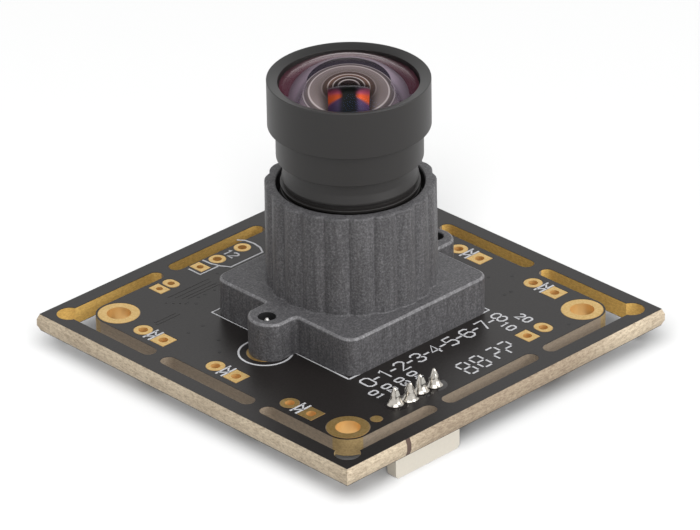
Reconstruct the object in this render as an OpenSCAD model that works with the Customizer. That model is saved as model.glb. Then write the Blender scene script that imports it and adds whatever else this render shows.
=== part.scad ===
// Board camera module: a square circuit board whose scored outer frame can
// be snapped away, a moulded lens holder screwed over the image sensor, and
// a turned wide angle lens in the holder's thread.
// Millimetres. The origin is the middle of the four mounting holes on the
// underside of the board. +x runs along the edge with the connector, +z is
// the way the lens looks.

/* [Circuit board] */
// Outside width over the snapped edges
board_w = 38; // [36:0.5:60]
// Thickness with both mask coats
board_t = 1.6; // [0.8:0.2:2.4]
// Thickness of one mask coat, and of the copper in its openings
mask_t = 0.04; // [0.03:0.01:0.1]
// Depth of the scored bevel, in from the edge
score_in = 0.2; // [0.1:0.05:0.4]
// Height of the scored bevel on each face
score_h = 0.5; // [0.2:0.05:0.7]

/* [Break-away slots] */
// Half width of the inner board
inner_half = 16; // [14:0.5:24]
// Width of the routed slots
slot_w = 1.4; // [0.8:0.1:2]
// Half length of the slot in the middle of each side
mid_slot_half = 5.5; // [3:0.5:8]
// Distance from the middle of a side to the start of its corner slots
corner_slot_from = 6.6; // [6:0.1:10]
// Radius of the outer corner holes
corner_hole_r = 1.1; // [0.8:0.1:1.5]
// Half spacing of the outer corner holes
corner_hole_half = 17; // [16:0.5:25]

/* [Mounting holes] */
// Half spacing of the mounting holes
hole_half = 14; // [10:0.5:22]
// Radius of the plated mounting holes
hole_r = 1.05; // [0.8:0.05:1.7]
// Radius of the bare copper ring round a mounting hole
hole_ring_r = 1.8; // [1.4:0.1:2.5]
// Thickness of the plating inside a hole
plating_t = 0.06; // [0.03:0.01:0.1]

/* [Solder pads] */
// Half spacing of the two columns of lamp pads
lamp_x = 14.55; // [13:0.05:20]
// Spacing of the lamp pads along a column
lamp_step = 9; // [6:0.5:12]
// Distance between the two pads of a lamp
lamp_pitch = 2.54; // [2:0.02:3]
// Width of a lamp pad
lamp_pad_w = 1.62; // [1.2:0.01:2]
// Hole radius of a lamp pad
lamp_hole_r = 0.42; // [0.3:0.02:0.5]

/* [Lens holder] */
// Shift of the holder against the board, along x and away from y
holder_shift = 0.13; // [0:0.01:0.3]
// Width of the square base
base_w = 16.7; // [14:0.1:20]
// Height of the base
base_h = 3.5; // [2.5:0.1:6]
// Corner radius of the base
base_r = 1.25; // [0.5:0.05:3]
// Edge break round the top of the base
base_break = 0.25; // [0.1:0.05:0.5]
// Half spacing of the two screws
ear_x = 10; // [9:0.1:14]
// Half width of an ear
ear_half = 1.85; // [1.5:0.05:3]
// Bore of an ear for its screw
ear_bore_r = 0.78; // [0.6:0.02:1.2]
// Height of the tower above the base
tower_h = 9.1; // [6:0.1:14]
// Crest radius of the grip ribs
tower_r = 7.37; // [6.8:0.01:9]
// Number of grip ribs round the tower
rib_count = 21; // [12:1:36]
// Radius of one rounded grip rib
rib_r = 1.67; // [1.2:0.01:2.5]
// Bore at the mouth of the tower
mouth_r = 6.31; // [6.1:0.01:6.6]
// Depth of the wide mouth
mouth_depth = 1.7; // [0.5:0.1:4]
// Bore that carries the lens thread
thread_bore_r = 5.98; // [5.5:0.01:6.2]
// Width of the square pocket over the image sensor
pocket_w = 13.2; // [9:0.1:15]
// Height of that pocket
pocket_h = 2.6; // [1.5:0.1:4]

/* [Lens barrel] */
// Height of the lens rim above the board
rim_z = 22.25; // [18:0.05:30]
// Radius of the head
head_r = 6.91; // [6.5:0.01:10]
// Height of the head
head_h = 4.25; // [2:0.05:8]
// Radius and height of the second stage
stage_r = 6.24; // [6:0.01:8]
stage_h = 2.87; // [1:0.01:5]
// Radius of the neck under the second stage
neck_r = 5.6; // [5:0.05:5.9]
// Radius over the lens thread
thread_r = 5.94; // [5.5:0.01:6]
// Height of the foot of the barrel above the board
barrel_foot_z = 5.9; // [5.2:0.1:8]
// Inner edge of the dished rim
rim_inner_r = 5.96; // [5:0.01:6.5]
// Drop of the rim from its outer to its inner edge
rim_dish = 0.3; // [0:0.05:0.6]

/* [Lens elements] */
// Radius of the front element
front_r = 5.87; // [5:0.01:6]
// Radius of its outer curve
front_curve = 10; // [8:0.5:60]
// Drop from the inner edge of the rim to the edge of the front element
front_edge_drop = 0.35; // [0:0.05:0.6]
// Height of its wall, from its edge down to its seat
front_wall_h = 2.95; // [2:0.05:4]
// Radius of the hollow in its back
front_hollow = 4.1; // [3:0.1:5]
// Radius of the second element
second_r = 4.6; // [3.5:0.05:5]
// Radius of the hollow in the back of the second element
second_hollow = 2.9; // [2:0.1:3.2]
// Radius of the third element
third_r = 3.9; // [3:0.05:5]
// Radius of the last element
rear_r = 3.4; // [2.5:0.05:4]
// Radius of the opening in the stop
stop_r = 1.1; // [0.5:0.05:2]

/* [Connector] */
// Middle of the connector along x
conn_x = -6.33; // [-10:0.01:10]
// Width, depth and height of the housing
conn_w = 7.53; // [5:0.01:12]
conn_d = 3.5; // [3:0.1:6]
conn_h = 4.45; // [3:0.05:8]
// Front face of the housing
conn_front_y = -15.57; // [-17:0.01:-12]
// Thickness of the front wall
conn_wall = 1.02; // [0.5:0.01:1.5]
// Pin row and pin spacing
pin_y = -14.15; // [-16:0.05:-10]
pin_pitch = 1.5; // [1:0.05:2.54]
// Number of pins
pin_count = 4; // [2:1:6]
// Width of a pin
pin_w = 0.5; // [0.3:0.05:0.8]
// Height of a pin tip above the board
pin_up = 1.32; // [0.5:0.02:2]

/* [Hidden] */

$fn = 96;
eps = 0.01;
top = board_t;
core_t = board_t - 2 * mask_t;
slot_mid = inner_half + slot_w / 2;
slot_out = inner_half + slot_w;
corner_r = inner_half - hole_half;
mask_gap = 0.06;
lamp_ys = [for (k = [-1:1]) 0.05 + k * lamp_step];
lamp_spots = [for (sx = [-1, 1]) for (y = lamp_ys) [sx * lamp_x, y]];
mount_spots = [for (sx = [-1, 1]) for (sy = [-1, 1]) [sx * hole_half, sy * hole_half]];
screw_spots = [[-ear_x, 0], [ear_x, 0]];
screw_hole_r = 1;
screw_pad_r = 1.6;
// Edge pads: x, y, width, length, hole radius
square_pads = [[-8.6, 14.75, 1.1, 1.55, 0.3], [-3.45, 15.15, 1.1, 1.5, 0.32],
  [7.4, -13.85, 1.35, 1.65, 0.4]];
oval_pads = [[-7.25, 14.75, 1.15, 1.6, 0.32], [9.4, -13.8, 1.35, 1.7, 0.4]];
round_pads = [[-1.4, 15.15, 1.5, 1.5, 0.4], [1.6, 15.15, 1.5, 1.5, 0.4]];
dot_at = [-11.4, -14.7];
dot_r = 0.5;
pin_xs = [for (k = [0:pin_count - 1]) conn_x + (k - (pin_count - 1) / 2) * pin_pitch];
joint_r = 0.72;
pin_hole_r = 0.42;
filter_open_r = 4;
filter_t = 0.3;
thread_floor_z = 3.4;
seat_gap = 0.02;

// Board

module at(spots) {
  for (p = spots) translate([p[0], p[1], 0]) children();
}

module rounded(w, d, r) {
  square([w, d - 2 * r], center = true);
  square([w - 2 * r, d], center = true);
  for (sx = [-1, 1]) for (sy = [-1, 1])
    translate([sx * (w / 2 - r), sy * (d / 2 - r)]) circle(r);
}

module oval(w, l) {
  square([w, l - w], center = true);
  for (s = [-1, 1]) translate([0, s * (l - w) / 2]) circle(w / 2);
}

module side_slots() {
  square([2 * mid_slot_half - slot_w, slot_w], center = true);
  for (s = [-1, 1]) translate([s * (mid_slot_half - slot_w / 2), 0]) circle(slot_w / 2);
}

// The L shaped slot round one corner, in the corner where x and y are positive
module corner_slot() {
  start = corner_slot_from + slot_w / 2;
  difference() {
    union() {
      translate([start, inner_half]) square([slot_out - start, slot_w]);
      translate([inner_half, start]) square([slot_w, slot_out - start]);
      translate([inner_half - corner_r, inner_half - corner_r])
        square(corner_r + slot_w);
    }
    translate([inner_half - corner_r, inner_half - corner_r]) circle(corner_r);
    translate([start - 1, start - 1])
      square([inner_half - corner_r - start + 1, inner_half - start + 1]);
    translate([start - 1, start - 1])
      square([inner_half - start + 1, inner_half - corner_r - start + 1]);
  }
  for (p = [[start, slot_mid], [slot_mid, start]]) translate(p) circle(slot_w / 2);
  translate([corner_hole_half, corner_hole_half]) circle(corner_hole_r);
}

module slots() {
  for (a = [0, 90, 180, 270]) rotate(a) {
    translate([0, slot_mid]) side_slots();
    corner_slot();
  }
}

module circuit_board() color("#a8916b") difference() {
  translate([0, 0, mask_t]) linear_extrude(core_t) difference() {
    square(board_w, center = true);
    slots();
    at(mount_spots) circle(hole_r + plating_t);
    at(screw_spots) circle(screw_hole_r + plating_t);
    at(lamp_spots) for (s = [-1, 1]) translate([0, s * lamp_pitch / 2])
      circle(lamp_hole_r + plating_t);
    for (p = concat(square_pads, oval_pads, round_pads))
      translate([p[0], p[1]]) circle(p[4] + plating_t);
    for (x = pin_xs) translate([x, pin_y]) circle(pin_hole_r);
  }
  for (a = [0, 90, 180, 270]) rotate(a) for (m = [0, 1])
    translate([0, board_w / 2, m * board_t]) mirror([0, 0, m])
      rotate([90, 0, 90]) linear_extrude(board_w + 2, center = true)
        polygon([[-score_in, mask_t - eps], [1, mask_t - eps],
          [1, score_h + score_h / score_in], [0, score_h], [-score_in, mask_t]]);
}

module pad_openings() {
  at(mount_spots) circle(hole_ring_r + mask_gap);
  at(screw_spots) circle(screw_pad_r + mask_gap);
  at(lamp_spots) {
    translate([0, lamp_pitch / 2]) circle(lamp_pad_w / 2 + mask_gap);
    translate([0, -lamp_pitch / 2]) square(lamp_pad_w + 2 * mask_gap, center = true);
  }
  for (p = square_pads) translate([p[0], p[1]])
    square([p[2] + 2 * mask_gap, p[3] + 2 * mask_gap], center = true);
  for (p = oval_pads) translate([p[0], p[1]]) oval(p[2] + 2 * mask_gap, p[3] + 2 * mask_gap);
  for (p = round_pads) translate([p[0], p[1]]) circle(p[2] / 2 + mask_gap);
}

module solder_mask() {
  linear_extrude(mask_t) difference() {
    square(board_w - 2 * score_in, center = true);
    slots();
    pad_openings();
    children();
  }
}

module solder_mask_top() color("#33302f") translate([0, 0, top - mask_t]) solder_mask() {
  translate(dot_at) circle(dot_r + mask_gap);
  for (x = pin_xs) translate([x, pin_y]) circle(joint_r + eps);
}

module solder_mask_bottom() color("#33302f") solder_mask()
  for (x = pin_xs) translate([x, pin_y]) circle(pin_hole_r + eps);

// A plated hole: a pad on both faces, drawn by the children, and the barrel
module plated(r) difference() {
  union() {
    linear_extrude(mask_t) children();
    translate([0, 0, top - mask_t]) linear_extrude(mask_t) children();
    cylinder(h = board_t, r = r + plating_t);
  }
  translate([0, 0, -1]) cylinder(h = board_t + 2, r = r);
}

module mounting_hole_rings() color("#e2bd78") at(mount_spots)
  plated(hole_r) circle(hole_ring_r);

module screw_pad_rings() color("#e2bd78") at(screw_spots)
  plated(screw_hole_r) circle(screw_pad_r);

module lamp_pads_round() color("#e2bd78") at(lamp_spots)
  translate([0, lamp_pitch / 2, 0]) plated(lamp_hole_r) circle(lamp_pad_w / 2);

module lamp_pads_square() color("#e2bd78") at(lamp_spots)
  translate([0, -lamp_pitch / 2, 0]) plated(lamp_hole_r) square(lamp_pad_w, center = true);

module edge_pads_square() color("#e2bd78") for (p = square_pads)
  translate([p[0], p[1], 0]) plated(p[4]) square([p[2], p[3]], center = true);

module edge_pads_oval() color("#e2bd78") for (p = oval_pads)
  translate([p[0], p[1], 0]) plated(p[4]) oval(p[2], p[3]);

module edge_pads_round() color("#e2bd78") for (p = round_pads)
  translate([p[0], p[1], 0]) plated(p[4]) circle(p[2] / 2);

module reference_dot() color("#e2bd78")
  translate([dot_at[0], dot_at[1], top - mask_t]) cylinder(h = mask_t, r = dot_r);

// Lens holder: base, two ears and a ribbed tower in one moulding

module break_profile(w, h, c) polygon([[-w / 2, 0], [w / 2, 0], [w / 2, h - c],
  [w / 2 - c, h], [-w / 2 + c, h], [-w / 2, h - c]]);

module holder_base() intersection() {
  linear_extrude(base_h) rounded(base_w, base_w, base_r);
  rotate([90, 0, 0]) linear_extrude(base_w + 2, center = true)
    break_profile(base_w, base_h, base_break);
  rotate([90, 0, 90]) linear_extrude(base_w + 2, center = true)
    break_profile(base_w, base_h, base_break);
}

// One ear on the +x side: a slab with an end turned about a point inside the screw
module holder_ear() {
  end_r = 2;
  end_in = 0.5;
  end_x = ear_x - end_in;
  intersection() {
    rotate([90, 0, 90]) linear_extrude(ear_x + 2 * end_r) break_profile(2 * ear_half, base_h, base_break);
    union() {
      translate([0, -end_r, 0]) cube([end_x, 2 * end_r, base_h]);
      translate([end_x, 0, 0]) {
        cylinder(h = base_h - base_break, r = end_r);
        translate([0, 0, base_h - base_break])
          cylinder(h = base_break, r1 = end_r, r2 = end_r - base_break);
      }
    }
  }
}

module rib_outline() {
  first_notch_a = -135.5;
  crest = tower_r - rib_r;
  step = 360 / rib_count;
  circle(crest + rib_r / 3);
  for (k = [0:rib_count - 1]) rotate(first_notch_a + (k + 1 / 2) * step)
    translate([crest, 0]) circle(rib_r);
}

module holder_tower() {
  rim_break = 0.2;
  intersection() {
    linear_extrude(base_h + tower_h) rib_outline();
    union() {
      cylinder(h = base_h + tower_h - rim_break, r = tower_r + 1);
      translate([0, 0, base_h + tower_h - rim_break])
        cylinder(h = rim_break, r1 = tower_r - 0.02, r2 = tower_r - rim_break - 0.05);
    }
  }
}

module lens_holder() color("#5b5a5c") translate([holder_shift, -holder_shift, top]) {
  difference() {
    union() {
      holder_base();
      for (a = [0, 180]) rotate(a) holder_ear();
      holder_tower();
    }
    translate([0, 0, -1]) linear_extrude(pocket_h + 1) rounded(pocket_w, pocket_w, 0.8);
    translate([0, 0, 1]) cylinder(h = 30, r = filter_open_r);
    translate([0, 0, thread_floor_z]) cylinder(h = 30, r = thread_bore_r);
    translate([0, 0, base_h + tower_h - mouth_depth]) cylinder(h = 30, r = mouth_r);
    for (sx = [-1, 1]) translate([sx * ear_x, 0, -1]) cylinder(h = base_h + 2, r = ear_bore_r);
  }
}

// Holder screws, driven from under the board, with a cross in the head
module holder_screws() color("#c9c7c4") at(screw_spots) translate([holder_shift, -holder_shift, 0]) {
  screw_head_r = 1.55;
  screw_head_h = 1;
  head_break = 0.3;
  cross_w = 0.34;
  cross_l = 1.7;
  cross_depth = 0.55;
  shank_r = 0.74;
  tip_h = 1.1;
  tip_z = top + base_h - 0.25;
  difference() {
    translate([0, 0, -screw_head_h]) {
      cylinder(h = head_break, r1 = screw_head_r - head_break, r2 = screw_head_r);
      translate([0, 0, head_break]) cylinder(h = screw_head_h - head_break, r = screw_head_r);
    }
    translate([0, 0, -screw_head_h]) for (a = [0, 90]) rotate(a)
      cube([cross_l, cross_w, 2 * cross_depth], center = true);
  }
  cylinder(h = tip_z - tip_h, r = shank_r);
  translate([0, 0, tip_z - tip_h]) cylinder(h = tip_h, r1 = shank_r, r2 = 0.12);
}

// Lens

module lens_axis() translate([holder_shift, -holder_shift, top]) children();

rim_lip_z = rim_z - rim_dish;
head_z = rim_z - head_h;
stage_z = head_z - stage_h;
front_edge_z = rim_lip_z - front_edge_drop;
front_seat_z = front_edge_z - front_wall_h;
second_flange_r = 3.9;
second_flange_t = 0.85;
second_seat_z = front_seat_z - 2.1;
second_top_z = front_seat_z + 1.15;
third_top_z = second_seat_z - 2.9;
third_seat_z = third_top_z - 2.4;
third_flange_t = 0.9;
stop_t = 0.3;
stop_z = third_seat_z - stop_t;
rear_seat_z = barrel_foot_z + 1.1;
rear_flange_t = 1;
rear_open_r = rear_r - 0.5;

// Turned in one piece, bored in steps so that every element drops in from the front.
// The neck flares out to a small collar, and the thread starts below that.
neck_end_z = stage_z - 1.2;
collar_z = stage_z - 2.05;
collar_r = thread_r - 0.14;
thread_end_z = stage_z - 2.38;
foot_break = 0.25;
edge_break = 0.06;

module lens_barrel() color("#2b2a2a") lens_axis() rotate_extrude() polygon([
  [rear_open_r, barrel_foot_z], [thread_r - foot_break, barrel_foot_z],
  [thread_r, barrel_foot_z + foot_break], [thread_r, thread_end_z],
  [thread_r - 0.08, thread_end_z + 0.16], [thread_r - 0.08, collar_z - 0.05],
  [collar_r - edge_break, collar_z], [collar_r, collar_z + 0.1],
  [neck_r + 0.05, neck_end_z - 0.4], [neck_r, neck_end_z], [neck_r, stage_z],
  [stage_r - edge_break, stage_z], [stage_r, stage_z + edge_break], [stage_r, head_z],
  [head_r - edge_break, head_z], [head_r, head_z + edge_break],
  [head_r, rim_z - edge_break], [head_r - edge_break, rim_z],
  [rim_inner_r + edge_break, rim_lip_z], [rim_inner_r, rim_lip_z - edge_break],
  [rim_inner_r, front_seat_z], [second_r + seat_gap, front_seat_z],
  [second_r + seat_gap, second_seat_z], [third_r + seat_gap, second_seat_z],
  [third_r + seat_gap, stop_z], [rear_r + seat_gap, stop_z],
  [rear_r + seat_gap, rear_seat_z], [rear_open_r, rear_seat_z]]);

// Front element: a shallow dome on top and a deep hollow behind
hollow_drop = 1.1;

module front_lens() color("#8f7f92") lens_axis() difference() {
  intersection() {
    translate([0, 0, front_seat_z]) cylinder(h = front_wall_h + front_curve, r = front_r);
    translate([0, 0, front_edge_z - sqrt(front_curve * front_curve - front_r * front_r)])
      sphere(front_curve, $fn = 256);
  }
  translate([0, 0, front_seat_z - hollow_drop]) sphere(front_hollow);
}

// A flange that sits in the barrel with a dome on it
module domed(z, r, flange_t, dome_r, top_z, curve) {
  translate([0, 0, z]) cylinder(h = flange_t, r = r);
  intersection() {
    translate([0, 0, z]) cylinder(h = top_z - z + 1, r = dome_r);
    translate([0, 0, top_z - curve]) sphere(curve);
  }
}

// A ring between two elements
module spacer(z0, z1, r, inner_r) difference() {
  translate([0, 0, z0]) cylinder(h = z1 - z0, r = r);
  translate([0, 0, z0 - 1]) cylinder(h = z1 - z0 + 2, r = inner_r);
}

second_curve = 5.9;
second_hollow_drop = 0.6;
third_curve = 6;
third_dome_r = third_r - 0.9;
rear_curve = 5;
rear_dome_r = rear_r - 0.8;
rear_lens_h = 2.4;

module second_lens() color("#9d8c86") lens_axis() difference() {
  domed(second_seat_z, second_r, second_flange_t, second_flange_r, second_top_z, second_curve);
  translate([0, 0, second_seat_z - second_hollow_drop]) sphere(second_hollow);
}

module third_lens() color("#8d9a8a") lens_axis()
  domed(third_seat_z, third_r, third_flange_t, third_dome_r, third_top_z, third_curve);

module rear_lens() color("#8a949c") lens_axis()
  domed(rear_seat_z, rear_r, rear_flange_t, rear_dome_r, rear_seat_z + rear_lens_h, rear_curve);

module front_spacer() color("#232222") lens_axis()
  spacer(second_seat_z + second_flange_t, front_seat_z, second_r, second_flange_r + 0.08);

module middle_spacer() color("#232222") lens_axis()
  spacer(third_seat_z + third_flange_t, second_seat_z, third_r, third_dome_r + 0.05);

module rear_spacer() color("#1d1c1c") lens_axis()
  spacer(rear_seat_z + rear_flange_t, stop_z, rear_r, rear_dome_r + 0.05);

module aperture_stop() color("#1d1c1c") lens_axis()
  spacer(stop_z, third_seat_z, third_r, stop_r);

// Filter, sensor and its cover glass

filter_w = 9.4;
sensor_w = 8;
sensor_d = 7.4;
sensor_h = 0.9;

module infrared_filter() color("#a5bcc4") lens_axis()
  translate([0, 0, pocket_h - filter_t]) linear_extrude(filter_t) square(filter_w, center = true);

module image_sensor() color("#2a2a2c") translate([0, 0, top]) difference() {
  linear_extrude(sensor_h) square([sensor_w, sensor_d], center = true);
  translate([0, 0, 0.6]) linear_extrude(1) square([sensor_w - 1.6, sensor_d - 1.6], center = true);
}

module sensor_glass() color("#b9c7c9") translate([0, 0, top + sensor_h])
  linear_extrude(0.4) square([sensor_w - 0.6, sensor_d - 0.6], center = true);

// Connector: a header under the board, open downwards

module connector_housing() color("#e9e2d6") {
  side_wall = 0.6;
  rear_wall = 0.55;
  floor_t = 0.9;
  key_w = 1;
  key_x = 2.1;
  notch_w = 1.4;
  notch_top = -floor_t - 0.4;
  corner = 0.28;
  flare = 0.35;
  x0 = conn_x - conn_w / 2;
  translate([x0, conn_front_y, 0]) difference() {
    translate([0, conn_d, 0]) rotate([90, 0, 0]) linear_extrude(conn_d)
      polygon([[0, 0], [conn_w, 0], [conn_w, -conn_h + corner], [conn_w - corner, -conn_h],
        [corner, -conn_h], [0, -conn_h + corner]]);
    translate([side_wall, conn_wall, -conn_h - 1])
      cube([conn_w - 2 * side_wall, conn_d - conn_wall - rear_wall, conn_h + 1 - floor_t]);
    // Notch through both end walls, with a flared mouth
    translate([-1, conn_wall, 0]) rotate([90, 0, 90]) linear_extrude(conn_w + 2)
      polygon([[-flare, -conn_h - 1], [-flare, -conn_h], [0, -conn_h + flare], [0, notch_top],
        [notch_w, notch_top], [notch_w, -conn_h + flare], [notch_w + flare, -conn_h],
        [notch_w + flare, -conn_h - 1]]);
    // Keyways in the rear wall
    for (s = [-1, 1]) translate([conn_w / 2 + s * key_x - key_w / 2, conn_d - 1, -conn_h - 1])
      cube([key_w, 2, conn_h - floor_t]);
    for (x = pin_xs) translate([x - x0, pin_y - conn_front_y, -2])
      linear_extrude(3) square(pin_w, center = true);
  }
}

// A pin seen from the side, drawn through, with both ends tapered
module pin_profile(low, high) {
  taper = 0.5;
  rotate([90, 0, 0]) linear_extrude(pin_w, center = true)
    polygon([[-pin_w / 4, low], [pin_w / 4, low], [pin_w / 2, low + taper],
      [pin_w / 2, high - taper], [pin_w / 4, high], [-pin_w / 4, high],
      [-pin_w / 2, high - taper], [-pin_w / 2, low + taper]]);
}

pin_low_z = 0.6 - conn_h;

module connector_pins() color("#cfc9bd") for (x = pin_xs) translate([x, pin_y, 0])
  intersection() {
    pin_profile(pin_low_z, board_t + pin_up);
    rotate(90) pin_profile(pin_low_z, board_t + pin_up);
  }

// Solder in the hole and a hollow cone of it that climbs the pin
joint_h = 1.05;
joint_tip_r = 0.34;

function climb(t) = joint_tip_r + (joint_r - joint_tip_r) * pow(1 - t, 2.4);

module solder_joints() color("#d9d6d0") for (x = pin_xs) translate([x, pin_y, 0]) difference() {
  rotate_extrude() polygon(concat(
    [[0, 0], [pin_hole_r, 0], [pin_hole_r, top - mask_t], [joint_r, top - mask_t]],
    [for (k = [0:6]) [climb(k / 6), top + 0.03 + k / 6 * (joint_h - 0.03)]],
    [[0, top + joint_h]]));
  translate([0, 0, -1]) linear_extrude(6) square(pin_w, center = true);
}

// Parts on the underside

module chip(w, d, h) translate([0, 0, -h]) difference() {
  linear_extrude(h) square([w, d], center = true);
  translate([-w / 2 + 0.8, -d / 2 + 0.8, -1]) cylinder(h = 1.1, r = 0.3);
}

chip_at = [1.2, 3.2];
memory_at = [-4.2, -6.2];
crystal_at = [6.8, -3.4];
inductor_at = [3.6, -10.2];
regulator_spots = [[9.6, -8.6], [12.2, 4.4], [-12.2, -4.6]];
cap_spots = [[-6, 7.2, 0], [-6, 5, 0], [-4, 9.8, 90], [0, 9.8, 90], [2.6, 9.8, 90],
  [8, 7.8, 0], [8, 5.6, 0], [6.9, 2.2, 0], [-11.8, 8, 90], [-11.8, 4, 90],
  [8.6, -11.5, 0], [-1.2, -13.2, 0]];
res_spots = [[-6, 1.4, 0], [-6, -0.4, 0], [4.6, -5.8, 0], [4.6, -7.4, 0],
  [12.4, 0.2, 90], [12.4, -2.6, 90], [-0.6, -10.6, 90], [-2, -2.6, 0]];

module controller_chip() color("#262628") translate([chip_at[0], chip_at[1], 0]) chip(8, 8, 0.9);

memory_w = 3.9;
memory_l = 4.9;
stand_off = 0.1;

module memory_chip() color("#2a2a2c") translate([memory_at[0], memory_at[1], -stand_off])
  chip(memory_w, memory_l, 1.4);

// A bent lead: flat foot on the board, leg, and shoulder into the body
module lead(w, reach, rise) {
  lead_t = 0.15;
  foot = 0.45;
  rotate([90, 0, 0]) linear_extrude(w, center = true)
    polygon([[0, -rise], [0.35, -rise], [reach - foot, -lead_t], [reach, -lead_t], [reach, 0],
      [reach - foot - 0.1, 0], [0.25, -rise + lead_t], [0, -rise + lead_t]]);
}

module memory_leads() color("#c4c2bd") translate([memory_at[0], memory_at[1], 0])
  for (a = [0, 180]) rotate(a) for (k = [-1.5:1.5]) translate([memory_w / 2, k * 1.27, 0])
    lead(0.4, 1.05, 0.8);

module crystal() color("#c8c6c0") translate([crystal_at[0], crystal_at[1], -0.8])
  linear_extrude(0.8) square([3.2, 2.5], center = true);

regulator_l = 2.9;
regulator_w = 1.6;

module regulators() color("#2a2a2c") at(regulator_spots) translate([0, 0, -stand_off])
  chip(regulator_l, regulator_w, 1.05);

module regulator_leads() color("#c4c2bd") at(regulator_spots) {
  for (x = [-0.95, 0, 0.95]) translate([x, -regulator_w / 2, 0]) rotate(-90) lead(0.38, 0.6, 0.6);
  for (x = [-0.95, 0.95]) translate([x, regulator_w / 2, 0]) rotate(90) lead(0.38, 0.6, 0.6);
}

module inductor() color("#3b3a3a") translate([inductor_at[0], inductor_at[1], -1.5])
  linear_extrude(1.5) rounded(3, 3, 0.4);

// Capacitors and resistors share one size: length, width and length of an end cap
small_l = 1.6;
small_w = 0.8;
end_l = 0.3;
cap_h = 0.8;
res_h = 0.45;

module small_body(spots, h) for (p = spots) translate([p[0], p[1], -h]) rotate(p[2])
  linear_extrude(h) square([small_l - 2 * end_l, small_w], center = true);

module small_ends(spots, h) for (p = spots) translate([p[0], p[1], -h]) rotate(p[2])
  for (s = [-1, 1]) translate([s * (small_l - end_l) / 2, 0, 0])
    linear_extrude(h) square([end_l, small_w], center = true);

module capacitor_bodies() color("#9a7b58") small_body(cap_spots, cap_h);
module capacitor_ends() color("#cbc9c4") small_ends(cap_spots, cap_h);
module resistor_bodies() color("#1e1e20") small_body(res_spots, res_h);
module resistor_ends() color("#cbc9c4") small_ends(res_spots, res_h);

circuit_board();
solder_mask_top();
solder_mask_bottom();
mounting_hole_rings();
screw_pad_rings();
lamp_pads_round();
lamp_pads_square();
edge_pads_square();
edge_pads_oval();
edge_pads_round();
reference_dot();
lens_holder();
holder_screws();
lens_barrel();
front_lens();
second_lens();
third_lens();
rear_lens();
front_spacer();
middle_spacer();
rear_spacer();
aperture_stop();
infrared_filter();
image_sensor();
sensor_glass();
connector_housing();
connector_pins();
solder_joints();
controller_chip();
memory_chip();
memory_leads();
crystal();
regulators();
regulator_leads();
inductor();
capacitor_bodies();
capacitor_ends();
resistor_bodies();
resistor_ends();
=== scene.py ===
import math
import bmesh
import bpy
from mathutils import Matrix, Vector


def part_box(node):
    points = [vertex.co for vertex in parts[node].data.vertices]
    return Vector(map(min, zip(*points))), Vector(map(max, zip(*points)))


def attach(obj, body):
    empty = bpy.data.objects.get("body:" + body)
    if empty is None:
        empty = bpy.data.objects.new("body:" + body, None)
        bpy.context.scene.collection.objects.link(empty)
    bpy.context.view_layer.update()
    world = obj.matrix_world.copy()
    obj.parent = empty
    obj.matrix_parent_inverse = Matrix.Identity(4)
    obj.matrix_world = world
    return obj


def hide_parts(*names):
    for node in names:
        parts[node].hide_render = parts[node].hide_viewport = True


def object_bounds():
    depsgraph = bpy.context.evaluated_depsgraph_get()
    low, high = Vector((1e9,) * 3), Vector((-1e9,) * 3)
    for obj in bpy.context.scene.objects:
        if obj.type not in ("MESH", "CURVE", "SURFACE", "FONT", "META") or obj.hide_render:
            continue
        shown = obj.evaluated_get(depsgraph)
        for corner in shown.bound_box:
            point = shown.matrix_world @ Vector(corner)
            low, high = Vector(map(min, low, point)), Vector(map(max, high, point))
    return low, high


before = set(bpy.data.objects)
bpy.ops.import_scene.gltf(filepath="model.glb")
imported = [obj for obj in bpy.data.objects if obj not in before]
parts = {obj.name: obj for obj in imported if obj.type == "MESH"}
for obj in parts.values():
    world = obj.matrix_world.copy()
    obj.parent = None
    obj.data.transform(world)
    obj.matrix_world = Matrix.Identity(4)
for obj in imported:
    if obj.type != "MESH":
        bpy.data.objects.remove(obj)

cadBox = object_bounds()
mm = 0.001
print("frame loaded,", len(parts), "parts")


# Places that everything else is worked out from, in mm

def boxMm(part):
    return [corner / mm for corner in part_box(part)]


boardTop = boxMm("solder_mask_top")[1].z
holderLow, holderHigh = boxMm("lens_holder")
barrelLow, barrelHigh = boxMm("lens_barrel")
lensAxis = (barrelLow + barrelHigh) / 2
floorZ = cadBox[0][2] / mm


# Camera, set to the photograph's own angle

camera = {
    "azimuth": -43.974,  # degrees, 0 looks along +Y
    "elevation": 28.122,
    "roll": -0.963,
    "distance": 429.58,  # mm, from the middle of the board's top
    "lens": 258.48,
    "sensor": 36,
    "moveRight": -0.032,  # mm
    "moveUp": 3.951,
}


def placeCamera():
    azimuth, elevation, roll = [math.radians(camera[k]) for k in ("azimuth", "elevation", "roll")]
    back = Vector((math.sin(azimuth) * math.cos(elevation), -math.cos(azimuth) * math.cos(elevation),
                   math.sin(elevation)))
    level = Vector((math.cos(azimuth), math.sin(azimuth), 0))
    over = back.cross(level)
    right = level * math.cos(roll) + over * math.sin(roll)
    up = over * math.cos(roll) - level * math.sin(roll)
    data = bpy.data.cameras.new("photoCamera")
    data.sensor_fit = "HORIZONTAL"
    data.sensor_width = camera["sensor"]
    data.lens = camera["lens"]
    data.clip_start = 10 * mm
    data.clip_end = 10
    view = bpy.data.objects.new("photoCamera", data)
    spot = back * camera["distance"] + right * camera["moveRight"] + up * camera["moveUp"]
    view.matrix_world = Matrix((right, up, back)).transposed().to_4x4()
    view.matrix_world.translation = (spot + Vector((0, 0, boardTop))) * mm
    bpy.context.scene.collection.objects.link(view)
    bpy.context.scene.camera = view


placeCamera()
bpy.context.scene.view_settings.view_transform = "Standard"


# Small helpers for nodes

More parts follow.
